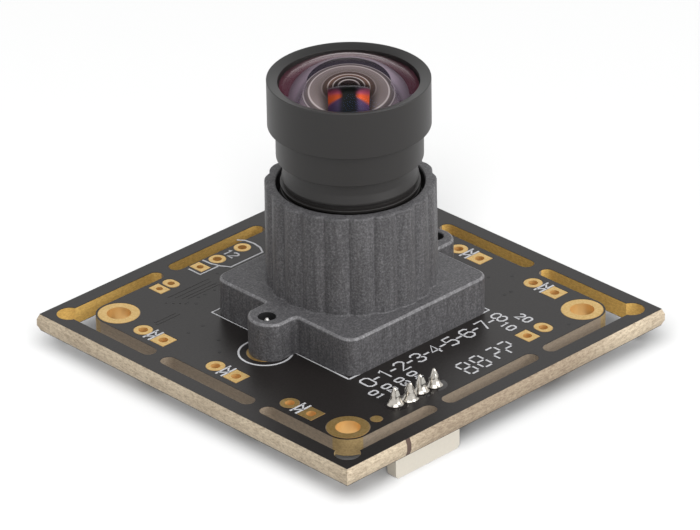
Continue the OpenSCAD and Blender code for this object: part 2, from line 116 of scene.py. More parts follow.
def linearColour(code):
    channels = [int(code[k:k + 2], 16) / 255 for k in (1, 3, 5)]
    return [c / 12.92 if c <= 0.04045 else ((c + 0.055) / 1.055) ** 2.4 for c in channels] + [1]


def plug(tree, value, socket):
    # a node gives the first of its outputs that is in use, anything else is linked or set as it is
    if isinstance(value, bpy.types.Node):
        value = next(output for output in value.outputs if output.enabled)
    if isinstance(value, bpy.types.NodeSocket):
        tree.links.new(value, socket)
    else:
        socket.default_value = value


def addNode(tree, kind, inputs=(), stops=None, **settings):
    # inputs are a list in the node's own order, or a dictionary by number or name
    node = tree.nodes.new(kind)
    for name, value in settings.items():
        setattr(node, name, value)
    named = inputs if isinstance(inputs, dict) else dict(enumerate(inputs))
    for name, value in named.items():
        plug(tree, value, node.inputs[name])
    if stops:  # places and colours of a colour ramp, in rising order
        elements = node.color_ramp.elements
        elements[0].position = stops[0][0]
        elements[1].position = stops[-1][0]
        for place, colour in stops[1:-1]:
            elements.new(place)
        for element, (place, colour) in zip(elements, stops):
            element.color = linearColour(colour)
    return node


def setInputs(tree, shader, **values):
    for name, value in values.items():
        plug(tree, value, shader.inputs[name.replace("_", " ")])


def newMaterial(name):
    material = bpy.data.materials.new(name)
    material.use_nodes = True
    tree = material.node_tree
    spot = addNode(tree, "ShaderNodeTexCoord").outputs["Object"]
    spotMm = addNode(tree, "ShaderNodeVectorMath", {0: spot, "Scale": 1 / mm}, operation="SCALE")
    return material, tree, tree.nodes["Principled BSDF"], spotMm


# Small helpers for meshes

def roundedPath(corners, closed=True, step=15):
    # corners are x, y, radius and tag, and the last two may be left out
    points = []
    count = len(corners)
    for i, corner in enumerate(corners):
        here = Vector(corner[:2])
        radius = corner[2] if len(corner) > 2 else 0
        tag = corner[3] if len(corner) > 3 else 0
        if radius == 0 or (not closed and i in (0, count - 1)):
            points.append((here.x, here.y, tag))
            continue
        before = (Vector(corners[i - 1][:2]) - here).normalized()
        after = (Vector(corners[(i + 1) % count][:2]) - here).normalized()
        half = before.angle(after) / 2
        middle = here + (before + after).normalized() * radius / math.sin(half)
        start = here + before * radius / math.tan(half) - middle
        turn = math.pi - 2 * half
        way = 1 if before.cross(after) < 0 else -1
        steps = max(2, math.ceil(math.degrees(turn) / step))
        for k in range(steps + 1):
            point = middle + Matrix.Rotation(way * turn * k / steps, 2) @ start
            points.append((point.x, point.y, tag))
    return points


def arcPath(middle, radius, first, last, steps, tag=0):
    angles = [math.radians(first + (last - first) * k / steps) for k in range(steps + 1)]
    return [(middle[0] + radius * math.cos(a), middle[1] + radius * math.sin(a), 0, tag) for a in angles]


def offsetLoop(points, inset):
    moved = []
    count = len(points)
    for i, point in enumerate(points):
        before = (point - points[i - 1]).normalized()
        after = (points[(i + 1) % count] - point).normalized()
        normal = Vector((-before.y - after.y, before.x + after.x)).normalized()
        stretch = max(0.4, normal.dot(Vector((-before.y, before.x))))
        moved.append(point + normal * inset / stretch)
    return moved


def bridge(bm, low, high, material=0):
    count = len(low)
    for i in range(count):
        j = (i + 1) % count
        face = bm.faces.new((low[i], low[j], high[j], high[i]))
        face.material_index = material


def fillFlat(bm, loops):
    edges = [bm.edges.get((loop[i - 1], loop[i])) or bm.edges.new((loop[i - 1], loop[i]))
             for loop in loops for i in range(len(loop))]
    bmesh.ops.triangle_fill(bm, edges=edges, use_beauty=True, use_dissolve=False)


def lathe(bm, corners, centre, segments=160, closed=True):
    profile = roundedPath(corners, closed)
    angles = [2 * math.pi * k / segments for k in range(segments)]
    rings = []
    for radius, height, tag in profile:
        if radius < 1e-4:
            rings.append([bm.verts.new(Vector((centre.x, centre.y, height)) * mm)])
        else:
            rings.append([bm.verts.new(Vector((centre.x + radius * math.cos(a),
                                               centre.y + radius * math.sin(a), height)) * mm)
                          for a in angles])
    pairs = list(zip(rings, rings[1:] + rings[:1], profile))
    for low, high, (radius, height, tag) in pairs if closed else pairs[:-1]:
        if len(low) == 1 and len(high) == 1:
            continue
        for i in range(segments):
            j = (i + 1) % segments
            ends = [(ring * segments)[k] for ring, k in ((low, i), (low, j), (high, j), (high, i))]
            face = bm.faces.new(list(dict.fromkeys(ends)))
            face.material_index = tag


def bakeModifiers(piece):
    view = bpy.context.evaluated_depsgraph_get()
    view.update()
    baked = bpy.data.meshes.new_from_object(piece.evaluated_get(view), preserve_all_data_layers=True,
                                            depsgraph=view)
    piece.modifiers.clear()
    piece.data = baked


def finishPiece(name, mesh, materials, slot, replaced=(), sharp=35, weighted=True):
    piece = bpy.data.objects.new(name, mesh)
    bpy.context.scene.collection.objects.link(piece)
    for material in materials:
        mesh.materials.append(material)
    mesh.shade_smooth()
    mesh.set_sharp_from_angle(angle=math.radians(sharp))
    if weighted:
        smoother = piece.modifiers.new("weightedNormals", "WEIGHTED_NORMAL")
        smoother.keep_sharp = True
        bakeModifiers(piece)
    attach(piece, "root")
    if replaced:
        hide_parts(*replaced)
    return piece


def makePiece(name, bm, materials, slot, **finish):
    bmesh.ops.remove_doubles(bm, verts=bm.verts, dist=1e-7)
    bmesh.ops.recalc_face_normals(bm, faces=bm.faces)
    mesh = bpy.data.meshes.new(name)
    bm.to_mesh(mesh)
    bm.free()
    return finishPiece(name, mesh, materials, slot, **finish)


def softenedCopy(part, name, material, slot, width):
    # a CAD part's own mesh, merged first, with its edges broken by width
    bm = bmesh.new()
    bm.from_mesh(parts[part].data)
    bmesh.ops.remove_doubles(bm, verts=bm.verts, dist=1e-6)
    bmesh.ops.dissolve_limit(bm, angle_limit=math.radians(1), verts=bm.verts, edges=bm.edges)
    mesh = bpy.data.meshes.new(name)
    bm.to_mesh(mesh)
    bm.free()
    piece = bpy.data.objects.new(name, mesh)
    bpy.context.scene.collection.objects.link(piece)
    bevel = piece.modifiers.new("edgeBreak", "BEVEL")
    bevel.width = width * mm
    bevel.segments = 2
    bevel.limit_method = "ANGLE"
    bevel.angle_limit = math.radians(30)
    bakeModifiers(piece)
    mesh = piece.data
    mesh.materials.clear()
    bpy.data.objects.remove(piece)
    finishPiece(name, mesh, [material], slot, (part,))


# Light and floor

studio = {
    "skyLevel": 0.4,  # what the white room adds to matt surfaces
    "ceilingLevel": 0.25,  # what shiny surfaces see overhead
    "ceilingFrom": 38,  # degrees up, where the white backdrop starts to fade
    "ceilingTo": 58,
    "floorColour": "#7b7a79",  # what the floor gives back to the object
    "floorSeen": 0.33,  # how bright it is drawn, so that it clips to white outside the shadow
    "shadowLift": "#151617",  # the colour left in the deepest shadow
    "floorHalf": 3,  # m
    "aimHeight": 8,  # mm, the height the lamps point at
    "lamps": {
        # azimuth, elevation, distance mm, width mm, height mm, level on a facing surface, what it lights
        "frontLamp": (-40, 52, 700, 520, 380, 0.41, "object"),
        "keyLamp": (18, 26, 700, 360, 300, 0.5, "object"),
        "topLamp": (30, 80, 700, 400, 400, 0.12, "object"),
        "tableLamp": (-45, 38, 2000, 900, 640, 4.75, "floor"),
    },
    "noShadow": ("holderMoulding", "turnedBarrel", "barrelThread"),  # only the board shades the floor
}


def placeLamps(floor):
    receivers = {}
    tall = bpy.data.collections.new("tallPieces")
    for target, state in (("object", "EXCLUDE"), ("floor", "INCLUDE")):
        receivers[target] = bpy.data.collections.new(target + "Receivers")
        receivers[target].objects.link(floor)
        receivers[target].collection_objects[0].light_linking.link_state = state
    for name, (azimuth, elevation, distance, width, height, level, target) in studio["lamps"].items():
        a, e = math.radians(azimuth), math.radians(elevation)
        away = Vector((math.sin(a) * math.cos(e), -math.cos(a) * math.cos(e), math.sin(e)))
        data = bpy.data.lights.new(name, "AREA")
        data.shape = "RECTANGLE"
        data.size = width * mm
        data.size_y = height * mm
        data.energy = level * (math.pi * distance * mm) ** 2
        lamp = bpy.data.objects.new(name, data)
        lamp.location = away * distance * mm + Vector((0, 0, studio["aimHeight"] * mm))
        lamp.rotation_euler = away.to_track_quat("Z", "Y").to_euler()
        bpy.context.scene.collection.objects.link(lamp)
        lamp.light_linking.receiver_collection = receivers[target]
        if target == "floor":
            lamp.light_linking.blocker_collection = tall
    return tall


def seenDirectly(tree):
    # 1 for what the camera sees, straight or in metal or glass, and 0 for what lights the object
    rays = addNode(tree, "ShaderNodeLightPath").outputs
    first = addNode(tree, "ShaderNodeMath", [rays["Is Camera Ray"], rays["Is Glossy Ray"]],
                    operation="MAXIMUM")
    return addNode(tree, "ShaderNodeMath", [first, rays["Is Transmission Ray"]], operation="MAXIMUM")


def makeWorld():
    world = bpy.data.worlds.new("whiteStudio")
    world.use_nodes = True
    tree = world.node_tree
    way = addNode(tree, "ShaderNodeTexCoord").outputs["Generated"]
    height = addNode(tree, "ShaderNodeSeparateXYZ", [way]).outputs["Z"]
    low, high = [math.sin(math.radians(studio[k])) for k in ("ceilingFrom", "ceilingTo")]
    white = addNode(tree, "ShaderNodeMapRange", {
        "Value": height, "From Min": low, "From Max": high, "To Min": 1.0,
        "To Max": studio["ceilingLevel"]}, interpolation_type="SMOOTHSTEP")
    strength = addNode(tree, "ShaderNodeMix", {0: seenDirectly(tree), 2: studio["skyLevel"], 3: white})
    setInputs(tree, tree.nodes["Background"], Color=(1, 1, 1, 1), Strength=strength)
    bpy.context.scene.world = world


def makeFloor():
    material = bpy.data.materials.new("paleTable")
    material.use_nodes = True
    tree = material.node_tree
    tree.nodes.remove(tree.nodes["Principled BSDF"])
    seen = seenDirectly(tree)
    bright = [studio["floorSeen"]] * 3 + [1]
    colour = addNode(tree, "ShaderNodeMix", {0: seen, 6: linearColour(studio["floorColour"]), 7: bright},
                     data_type="RGBA")
    matt = addNode(tree, "ShaderNodeBsdfDiffuse", {"Color": colour})
    lift = addNode(tree, "ShaderNodeEmission", [linearColour(studio["shadowLift"]), seen])
    both = addNode(tree, "ShaderNodeAddShader", [matt, lift])
    plug(tree, both, tree.nodes["Material Output"].inputs["Surface"])
    bm = bmesh.new()
    bmesh.ops.create_grid(bm, x_segments=1, y_segments=1, size=studio["floorHalf"])
    mesh = bpy.data.meshes.new("paleTable")
    bm.to_mesh(mesh)
    bm.free()
    mesh.transform(Matrix.Translation((0, 0, floorZ * mm)))
    mesh.materials.append(material)
    floor = bpy.data.objects.new("paleTable", mesh)
    bpy.context.scene.collection.objects.link(floor)
    return floor


tallPieces = placeLamps(makeFloor())
makeWorld()
print("studio ready")


# Materials

lens = {
    "frontRadius": 5.87,
    "frontCurve": 10,
    "frontEdge": 0.35,  # below the inner edge of the rim
    "frontSeat": 2.95,  # below its own edge
    "frontGround": 3.05,  # its back is ground matt outside this radius
    "frontHollow": 4.1,  # radius of the hollow in its back
    "frontHollowDrop": 1.1,
    "frontBreak": 0.08,  # where the dome meets the edge
    "secondRadius": 4.6,
    "secondFlange": 0.85,
    "secondDome": 3.9,
    "secondSeat": 2.1,  # below the front element's seat
    "secondTop": 1.15,  # above the front element's seat
    "seatGap": 0.015,  # every element stands this much clear of the metal under it
    "secondClear": 1.42,  # radius of its clear middle
    "secondNear": 1.4,  # the clear part runs on towards the front, this far either side
    "outerBand": 3.05,  # outside this radius its face is grey
    "towardsFront": -0.2,  # where the strip starts, away from the front corner counts as plus
    "rings": [  # radius in mm and colour of the finishes on the second element, from its middle out, the narrow pale rings being painted highlights on its bevels
        (0.6, "#2b2523"), (0.71, "#b5adaa"), (0.76, "#2b2523"), (1.0, "#3f3532"), (1.05, "#c4bcb9"),
        (1.12, "#4f4039"), (1.33, "#6b5146"), (1.39, "#c6beba"), (1.45, "#4f3f38"), (1.72, "#4a3f3a"),
        (1.78, "#867c7a"), (1.86, "#6a615e"), (2.56, "#867b79"), (2.61, "#c2bab7"), (2.66, "#c2bab7"),
        (2.7, "#6d6361"), (2.93, "#60585a"), (2.97, "#aba3a3"), (3.01, "#aba3a3"), (3.04, "#40393e")],
    "secondCurve": 5.9,
    "secondHollow": 2.9,
    "secondHollowDrop": 0.6,
    "thirdTop": 2.9,  # below the second element's seat
    "thirdHeight": 2.4,
    "thirdRadius": 3.9,
    "thirdFlange": 0.9,
    "thirdDome": 3,
    "thirdCurve": 6,
    "rearSeat": 1.1,  # above the foot of the barrel
    "rearRadius": 3.4,
    "rearFlange": 1,
    "rearDome": 2.6,
    "rearCurve": 5,
    "rearHeight": 2.4,
    "stopThickness": 0.3,
    "shadeFrom": 1.4,  # a painted brown shade lies beside the clear strip, this far either side
    "shadeTo": 2.2,
}

grainsPerMm = {  # how many of each fit in a millimetre, the finest are drawn coarser than they are, to show
    "cutStrands": 6.5,  # really about 50
    "edgePatches": 0.35,
    "orangePeel": 5,
    "platingGrain": 6,  # really over 100
    "glassFibres": 5.5,  # really about 50
    "flowStreaks": 2.6,
    "toolRings": 12,
    "plainGrain": 1 / 0.3,
}

grazingAngles = {  # where a finish starts and is full, 0 is seen square on and 1 along the surface
    "coating": (0.58, 0.82),
    "groundBack": (0.28, 0.5),
    # the second element's grey band turns dark at a low angle, painted shade in the gap behind it
    "outerGapShade": (0.2, 0.45),
    "ringedMiddle": (0.27, 0.34),
}

fibre = {
    "faceStart": 18.6,  # mm from the middle, outside this is the snapped edge
    "innerWall": 16.7,  # beyond this a slot wall faces inwards
    "cornerWall": 14.2,  # the walls round the mounting holes are brown
    "scorchAt": -11.9,  # a brown mark left by the cutter on the front right edge
    "scorchWidth": 0.5,
    "scorch": "#5a463d",
    "greyFrom": 7,  # the front right edge is painted greyer nearer its middle than this, as shade
    "greyTo": 16,
    "stretch": 0.42,  # the cut strands are longer along the edge than across it
    "tones": {  # from the darkest strand to the palest
        "sawn": [(0.3, "#a08e76"), (0.5, "#d5c4aa"), (0.72, "#ecdec4")],
        "grey": [(0.3, "#786756"), (0.5, "#a4927c"), (0.72, "#c0af96")],
        "dull": [(0.3, "#7f7264"), (0.7, "#a3937f")],
        "brown": [(0.3, "#86704a"), (0.7, "#b39a68")],
        # paintedGlow: the far slot walls painted golden, as light shining through the thin outer strip of
        # board
        "paintedGlow": [(0.3, "#c99b4e"), (0.7, "#f8cf76")],
    },
}


def makeFibreglass():
    # sawn epoxy fibreglass: pale tan, matt, with a dark and light speckle of cut strands
    f = fibre
    material, tree, shader, spot = newMaterial("sawnFibreglass")
    x, y, z = addNode(tree, "ShaderNodeSeparateXYZ", [spot]).outputs
    sizes = [addNode(tree, "ShaderNodeMath", [axis], operation="ABSOLUTE") for axis in (x, y)]
    reach = addNode(tree, "ShaderNodeMath", sizes, operation="MAXIMUM")
    corner = addNode(tree, "ShaderNodeMath", sizes, operation="MINIMUM")
    along = addNode(tree, "ShaderNodeMath", [x, y], operation="ADD")
    strand = addNode(tree, "ShaderNodeMath", [along, f["stretch"]], operation="MULTIPLY")
    laid = addNode(tree, "ShaderNodeCombineXYZ", [strand, reach, z])
    speckle = addNode(tree, "ShaderNodeTexNoise", {
        "Vector": laid, "Scale": grainsPerMm["cutStrands"], "Detail": 5, "Roughness": 0.75})
    patches = addNode(tree, "ShaderNodeTexNoise", {
        "Vector": spot, "Scale": grainsPerMm["edgePatches"], "Detail": 3})
    tones = {name: addNode(tree, "ShaderNodeValToRGB", [speckle], stops)
             for name, stops in f["tones"].items()}
    outer, inward, farWall, plated = [
        addNode(tree, "ShaderNodeMath", [value, limit], operation="GREATER_THAN")
        for value, limit in ((reach, f["faceStart"]), (reach, f["innerWall"]), (along, 0.0),
                             (corner, f["cornerWall"]))]
    front = addNode(tree, "ShaderNodeMath", [y, -f["faceStart"]], operation="LESS_THAN")
    middle = addNode(tree, "ShaderNodeMapRange", {
        "Value": sizes[0], "From Min": f["greyFrom"], "From Max": f["greyTo"], "To Min": 1.0,
        "To Max": 0.0}, interpolation_type="SMOOTHSTEP")
    scorched = addNode(tree, "ShaderNodeMath", [x, f["scorchAt"], f["scorchWidth"] / 2],
                       operation="COMPARE")
    frontMiddleShade, mark, paintedGlowWall = [
        addNode(tree, "ShaderNodeMath", pair, operation="MULTIPLY")
        for pair in ((front, middle), (scorched, front), (inward, farWall))]
    blotch = addNode(tree, "ShaderNodeMapRange", {
        "Value": patches, "From Min": 0.42, "From Max": 0.62, "To Min": 0.0, "To Max": 0.3})
    # the middle of the front right edge is painted greyer as shade, and random patches are greyed too
    greyed = addNode(tree, "ShaderNodeMath", [frontMiddleShade, blotch], operation="MAXIMUM")
    edge = tones["sawn"]
    for share, over in ((greyed, tones["grey"]), (mark, linearColour(f["scorch"]))):
        edge = addNode(tree, "ShaderNodeMix", {0: share, 6: edge, 7: over}, data_type="RGBA")
    colour = tones["dull"]
    # far slot walls that face inwards get a painted golden glow, as light coming through the board behind
    # them
    for share, over in ((plated, tones["brown"]), (paintedGlowWall, tones["paintedGlow"]), (outer, edge)):
        colour = addNode(tree, "ShaderNodeMix", {0: share, 6: colour, 7: over}, data_type="RGBA")
    relief = addNode(tree, "ShaderNodeBump", {"Height": speckle, "Strength": 0.5, "Distance": 0.05 * mm})
    setInputs(tree, shader, Base_Color=colour, Roughness=0.75, Normal=relief)
    return material


def makeSolderMask():
    # black lacquer over copper: satin, with a slight orange peel
    material, tree, shader, spot = newMaterial("blackSolderMask")
    peel = addNode(tree, "ShaderNodeTexNoise", {
        "Vector": spot, "Scale": grainsPerMm["orangePeel"], "Detail": 3})
    tone = addNode(tree, "ShaderNodeValToRGB", [peel], [(0.35, "#201d1c"), (0.65, "#272423")])
    relief = addNode(tree, "ShaderNodeBump", {"Height": peel, "Strength": 0.25, "Distance": 0.01 * mm})
    setInputs(tree, shader, Base_Color=tone, Roughness=0.36, Specular_IOR_Level=0.3, Normal=relief)
    return material


def makeGold():
    # immersion gold over nickel: pale yellow metal, a little grainy, warmer and duller inside the holes
    material, tree, shader, spot = newMaterial("immersionGold")
    grain = addNode(tree, "ShaderNodeTexNoise", {
        "Vector": spot, "Scale": grainsPerMm["platingGrain"], "Detail": 4})
    tone = addNode(tree, "ShaderNodeValToRGB", [grain], [(0.3, "#cfa962"), (0.7, "#e2c182")])
    relief = addNode(tree, "ShaderNodeBump", {"Height": grain, "Strength": 0.2, "Distance": 0.01 * mm})
    normal = addNode(tree, "ShaderNodeNewGeometry").outputs["Normal"]
    upright = addNode(tree, "ShaderNodeSeparateXYZ", [normal]).outputs["Z"]
    level = addNode(tree, "ShaderNodeMath", [upright], operation="ABSOLUTE")
    lining = addNode(tree, "ShaderNodeMath", [level, 0.5], operation="LESS_THAN")
    warm = addNode(tree, "ShaderNodeMix", {0: lining, 6: tone, 7: linearColour("#e9bd78")},
                   data_type="RGBA")
    metal = addNode(tree, "ShaderNodeMapRange", {"Value": lining, "To Min": 0.85, "To Max": 0.4})
    setInputs(tree, shader, Base_Color=warm, Metallic=metal, Roughness=0.34, Normal=relief)
    return material


def makeNylon(name, low, middle, high):
    # glass filled nylon: dark grey and satin, with short pale fibres just under the skin, and vertical
    # streaks left by the flow in the mould
    material, tree, shader, spot = newMaterial(name)
    fibres = addNode(tree, "ShaderNodeTexNoise", {
        "Vector": spot, "Scale": grainsPerMm["glassFibres"], "Detail": 6, "Roughness": 0.75})
    tone = addNode(tree, "ShaderNodeValToRGB", [fibres], [(0.3, low), (0.5, middle), (0.75, high)])
    drawn = addNode(tree, "ShaderNodeMapping", {"Vector": spot, "Scale": (1, 1, 0.07)})
    drag = addNode(tree, "ShaderNodeTexNoise", {
        "Vector": drawn, "Scale": grainsPerMm["flowStreaks"], "Detail": 4, "Roughness": 0.7,
        "Distortion": 0.6})
    streak = addNode(tree, "ShaderNodeMapRange", {
        "Value": drag, "From Min": 0.3, "From Max": 0.7, "To Min": 0.7, "To Max": 1.24})
    dragged = addNode(tree, "ShaderNodeVectorMath", {0: tone, "Scale": streak}, operation="SCALE")
    relief = addNode(tree, "ShaderNodeBump", {"Height": fibres, "Strength": 0.3, "Distance": 0.025 * mm})
    setInputs(tree, shader, Base_Color=dragged, Roughness=0.5, Specular_IOR_Level=0.3, Normal=relief)
    return material


def makeAnodised(name, tone, roughness, shine=0.45):
    # black anodised aluminium, turned: satin, with fine rings left by the tool
    material, tree, shader, spot = newMaterial(name)
    around = grainsPerMm["toolRings"] / 2
    stretch = addNode(tree, "ShaderNodeMapping", {"Vector": spot, "Scale": (0.2, 0.2, around)})
    rings = addNode(tree, "ShaderNodeTexNoise", {"Vector": stretch, "Scale": 2, "Detail": 4})
    relief = addNode(tree, "ShaderNodeBump", {"Height": rings, "Strength": 0.3, "Distance": 0.01 * mm})
    setInputs(tree, shader, Base_Color=linearColour(tone), Roughness=roughness, Specular_IOR_Level=shine,
              Normal=relief)
    return material


def lensReach(tree, spot):
    # distance from the lens axis in mm, and the two directions across and away from the front corner
    axis = (lensAxis.x, lensAxis.y, 0)
    fromAxis = addNode(tree, "ShaderNodeVectorMath", [spot, axis], operation="SUBTRACT")
    x, y = addNode(tree, "ShaderNodeSeparateXYZ", [fromAxis]).outputs[:2]
    sums = [addNode(tree, "ShaderNodeMath", [x, y], operation=way) for way in ("SUBTRACT", "ADD")]
    across, away = [addNode(tree, "ShaderNodeMath", [s, math.sqrt(0.5)], operation="MULTIPLY")
                    for s in sums]
    both = addNode(tree, "ShaderNodeCombineXYZ", [across, away])
    return addNode(tree, "ShaderNodeVectorMath", [both], operation="LENGTH"), across, away


def grazing(tree, low, high):
    # 0 where the glass is seen square on, 1 where it is seen along its surface
    facing = addNode(tree, "ShaderNodeLayerWeight", {"Blend": 0.5}).outputs["Facing"]
    return addNode(tree, "ShaderNodeMapRange", {"Value": facing, "From Min": low, "From Max": high},
                   interpolation_type="SMOOTHSTEP")


def makeGlass(name, tint, film, filmIor, ior=1.6):
    # polished optical glass: its coating holds back the white room except at a low angle, and tints it
    material, tree, shader, spot = newMaterial(name)
    lowAngle = grazing(tree, *grazingAngles["coating"])
    coated = addNode(tree, "ShaderNodeMapRange", {"Value": lowAngle, "To Min": 0.22, "To Max": 1.0})
    setInputs(tree, shader, Base_Color=linearColour(tint), Roughness=0.0, IOR=ior,
              Transmission_Weight=1.0, Specular_Tint=coated, Thin_Film_Thickness=film,
              Thin_Film_IOR=filmIor)
    return material


def makeGroundGlass():
    # fine ground back of the front element: lilac grey at a low angle, clear when seen square on
    material, tree, shader, spot = newMaterial("lilacGroundGlass")
    matt = grazing(tree, *grazingAngles["groundBack"])
    clear = addNode(tree, "ShaderNodeMath", [1.0, matt], operation="SUBTRACT")
    white = addNode(tree, "ShaderNodeMapRange", {"Value": clear, "From Min": 0.8, "From Max": 1.0})
    lilac = {0: white, 6: linearColour("#a295a1"), 7: linearColour("#ffffff")}
    colour = addNode(tree, "ShaderNodeMix", lilac, data_type="RGBA")
    setInputs(tree, shader, Base_Color=colour, Roughness=0.0, IOR=1.0, Transmission_Weight=clear)
    return material


def makeRingedGlass():
    # second element's face: dark edge, two bright bevels painted as highlights, and a ground band round the
    # clear middle, painted dark at a low angle as shade in the gap, with a brown shade painted beside the
    # clear strip
    material, tree, shader, spot = newMaterial("ringedGlass")
    reach, across, away = lensReach(tree, spot)
    side = addNode(tree, "ShaderNodeMath", [across], operation="ABSOLUTE")
    part = addNode(tree, "ShaderNodeMath", [reach, lens["secondDome"]], operation="DIVIDE")
    stops = [(radius / lens["secondDome"], tone) for radius, tone in lens["rings"]]
    # the narrow pale rings are painted bevel highlights
    rings = addNode(tree, "ShaderNodeValToRGB", [part], stops)
    outer = addNode(tree, "ShaderNodeMath", [reach, lens["outerBand"]], operation="GREATER_THAN")
    # painted shade: the grey band darkens at a low angle, where the gap behind it lies in shade
    lowAngle = grazing(tree, *grazingAngles["outerGapShade"])
    greys = {0: lowAngle, 6: linearColour("#857880"), 7: linearColour("#3d3842")}
    bandAndGapShade = addNode(tree, "ShaderNodeMix", greys, data_type="RGBA")
    inside, slim, towards = [
        addNode(tree, "ShaderNodeMath", [value, limit], operation="LESS_THAN")
        for value, limit in ((reach, lens["secondClear"]), (side, lens["secondNear"]),
                             (away, lens["towardsFront"]))]
    ringed = grazing(tree, *grazingAngles["ringedMiddle"])
    steep = addNode(tree, "ShaderNodeMath", [1.0, ringed], operation="SUBTRACT")
    # painted shade: brown, beside the clear strip and stronger towards the front corner
    shade = addNode(tree, "ShaderNodeMapRange", {
        "Value": side, "From Min": lens["shadeFrom"], "From Max": lens["shadeTo"], "To Min": 0.9,
        "To Max": 0.0}, interpolation_type="SMOOTHSTEP")
    near = addNode(tree, "ShaderNodeMapRange", {"Value": away, "From Min": 0.6, "From Max": -0.6})
    clearMiddle, clearStrip, paintedBrownShade = [
        addNode(tree, "ShaderNodeMath", pair, operation="MULTIPLY")
        for pair in ((inside, steep), (slim, towards), (shade, near))]
    clear = addNode(tree, "ShaderNodeMath", [clearMiddle, clearStrip], operation="MAXIMUM")
    white = addNode(tree, "ShaderNodeMapRange", {"Value": clear, "From Min": 0.8, "From Max": 1.0})
    colour = rings
    for share, over in ((outer, bandAndGapShade), (paintedBrownShade, linearColour("#2b2220")),
                        (white, linearColour("#ffffff"))):
        colour = addNode(tree, "ShaderNodeMix", {0: share, 6: colour, 7: over}, data_type="RGBA")
    setInputs(tree, shader, Base_Color=colour, Roughness=0.0, IOR=1.0, Transmission_Weight=clear)
    return material


def makeInnerCoating():
    # coated back of the second element, with the coating's reflections of the lamps painted on: orange and
    # violet at its sides, almost black in its middle
    material, tree, shader, spot = newMaterial("innerCoating")
    across, away = lensReach(tree, spot)[1:]
    side = addNode(tree, "ShaderNodeMath", [across], operation="ABSOLUTE")
    turn = addNode(tree, "ShaderNodeMath", [away, side], operation="ARCTAN2")
    part = addNode(tree, "ShaderNodeMapRange", {
        "Value": turn, "From Min": -math.pi / 2, "From Max": math.pi / 2})
    hue = addNode(tree, "ShaderNodeValToRGB", [part], [
        (0.0, "#141313"), (0.2, "#4d4260"), (0.33, "#5d4468"), (0.4, "#e8672c"), (0.53, "#e2603a"),
        (0.64, "#b0506a"), (0.8, "#4a3a48"), (1.0, "#2a2628")])
    # painted light: the colours are brighter towards one side
    bright = addNode(tree, "ShaderNodeMapRange", {
        "Value": across, "From Min": -1.0, "From Max": 0.4, "To Min": 0.45, "To Max": 1.15})
    paintedBrightHue = addNode(tree, "ShaderNodeVectorMath", {0: hue, "Scale": bright}, operation="SCALE")
    middle = addNode(tree, "ShaderNodeMapRange", {"Value": side, "From Min": 0.35, "From Max": 0.75},
                     interpolation_type="SMOOTHSTEP")
    colour = addNode(tree, "ShaderNodeMix", {0: middle, 6: linearColour("#131512"), 7: paintedBrightHue},
                     data_type="RGBA")
    setInputs(tree, shader, Base_Color=colour, Roughness=0.35, Specular_IOR_Level=0.1)
    return material


def makePlain(name, tone, roughness, metallic=0.0, grain=0.02, contrast=0.12):
    # one finish with a faint grain, for the small parts
    material, tree, shader, spot = newMaterial(name)
    noise = addNode(tree, "ShaderNodeTexNoise", {
        "Vector": spot, "Scale": grainsPerMm["plainGrain"], "Detail": 4})
    base = linearColour(tone)
    low = [c * (1 - contrast) for c in base[:3]] + [1]
    high = [min(1, c * (1 + contrast)) for c in base[:3]] + [1]
    colour = addNode(tree, "ShaderNodeMix", {0: noise, 6: low, 7: high}, data_type="RGBA")
    relief = addNode(tree, "ShaderNodeBump", {"Height": noise, "Strength": 0.3, "Distance": grain * mm})
    setInputs(tree, shader, Base_Color=colour, Roughness=roughness, Metallic=metallic, Normal=relief)
    return material


fibreglass = makeFibreglass()
solderMask = makeSolderMask()
gold = makeGold()
nylon = makeNylon("glassFilledNylon", "#3f3e40", "#59585a", "#858486")
edgeHighlightNylon = makeNylon("rubbedNylonEdge", "#5d5c5e", "#7c7b7d", "#a3a2a4")  # the edge rounding is painted paler, as a highlight
boreNylon = makePlain("boreNylon", "#1a1a1b", 0.6)  # the same nylon inside the ears, painted almost black as the shade down the bores
anodised = makeAnodised("blackAnodised", "#201e1d", 0.44)
faceRim = makeAnodised("blackAnodisedRim", "#191817", 0.42, 0.62)  # the face cut catches more light
innerBlack = makeAnodised("mattBlackBore", "#0c0c0c", 0.7)  # matt, to kill stray light
frontGlass = makeGlass("frontGlass", "#fbf8fc", 126, 1.38, 1.62)  # a lilac haze at its far side
innerGlass = makeGlass("innerGlass", "#fbf7f2", 110, 1.38, 1.7)
inkWithPaintedReflection = makePlain("inkedGlassEdge", "#481a29", 0.8, grain=0)  # black edge ink on ground glass, painted dull wine red as a reflection seen through the glass
lilacGround = makeGroundGlass()
clearBack = makeGlass("clearBackFace", "#ffffff", 0, 1.38, 1.0)  # a back that is looked straight through
ringedGlass = makeRingedGlass()
innerCoating = makeInnerCoating()
ivoryNylon = makePlain("ivoryNylon", "#e6dfd1", 0.5, contrast=0.04)  # even warm white, softly shiny
tinned = makePlain("tinnedBrass", "#cfccc4", 0.3, 1.0)  # bright tin with a faint grain
brightSolder = makePlain("brightSolder", "#bdb8b0", 0.18, 1.0, grain=0.01)  # wet looking, like a mirror
nickelSteel = makePlain("nickelledSteel", "#f0eeea", 0.42, 0.6)  # pale, between white and silver
legendInk = makePlain("legendInk", "#cfcfd2", 0.6, contrast=0.06)  # printed epoxy ink, matt off white
viaShadeDot = makePlain("pluggedVia", "#0d0c0c", 0.5)  # mask sunk in a small hole, painted as a black dot of shade
flux = makePlain("fluxResidue", "#1b1716", 0.12, grain=0.01)  # dried rosin, dark and glassy
epoxy = makePlain("mouldedEpoxy", "#262628", 0.55)  # chip body, charcoal and matt
platedLid = makePlain("platedLid", "#c9c7c1", 0.3, 1.0)  # drawn nickel silver, bright
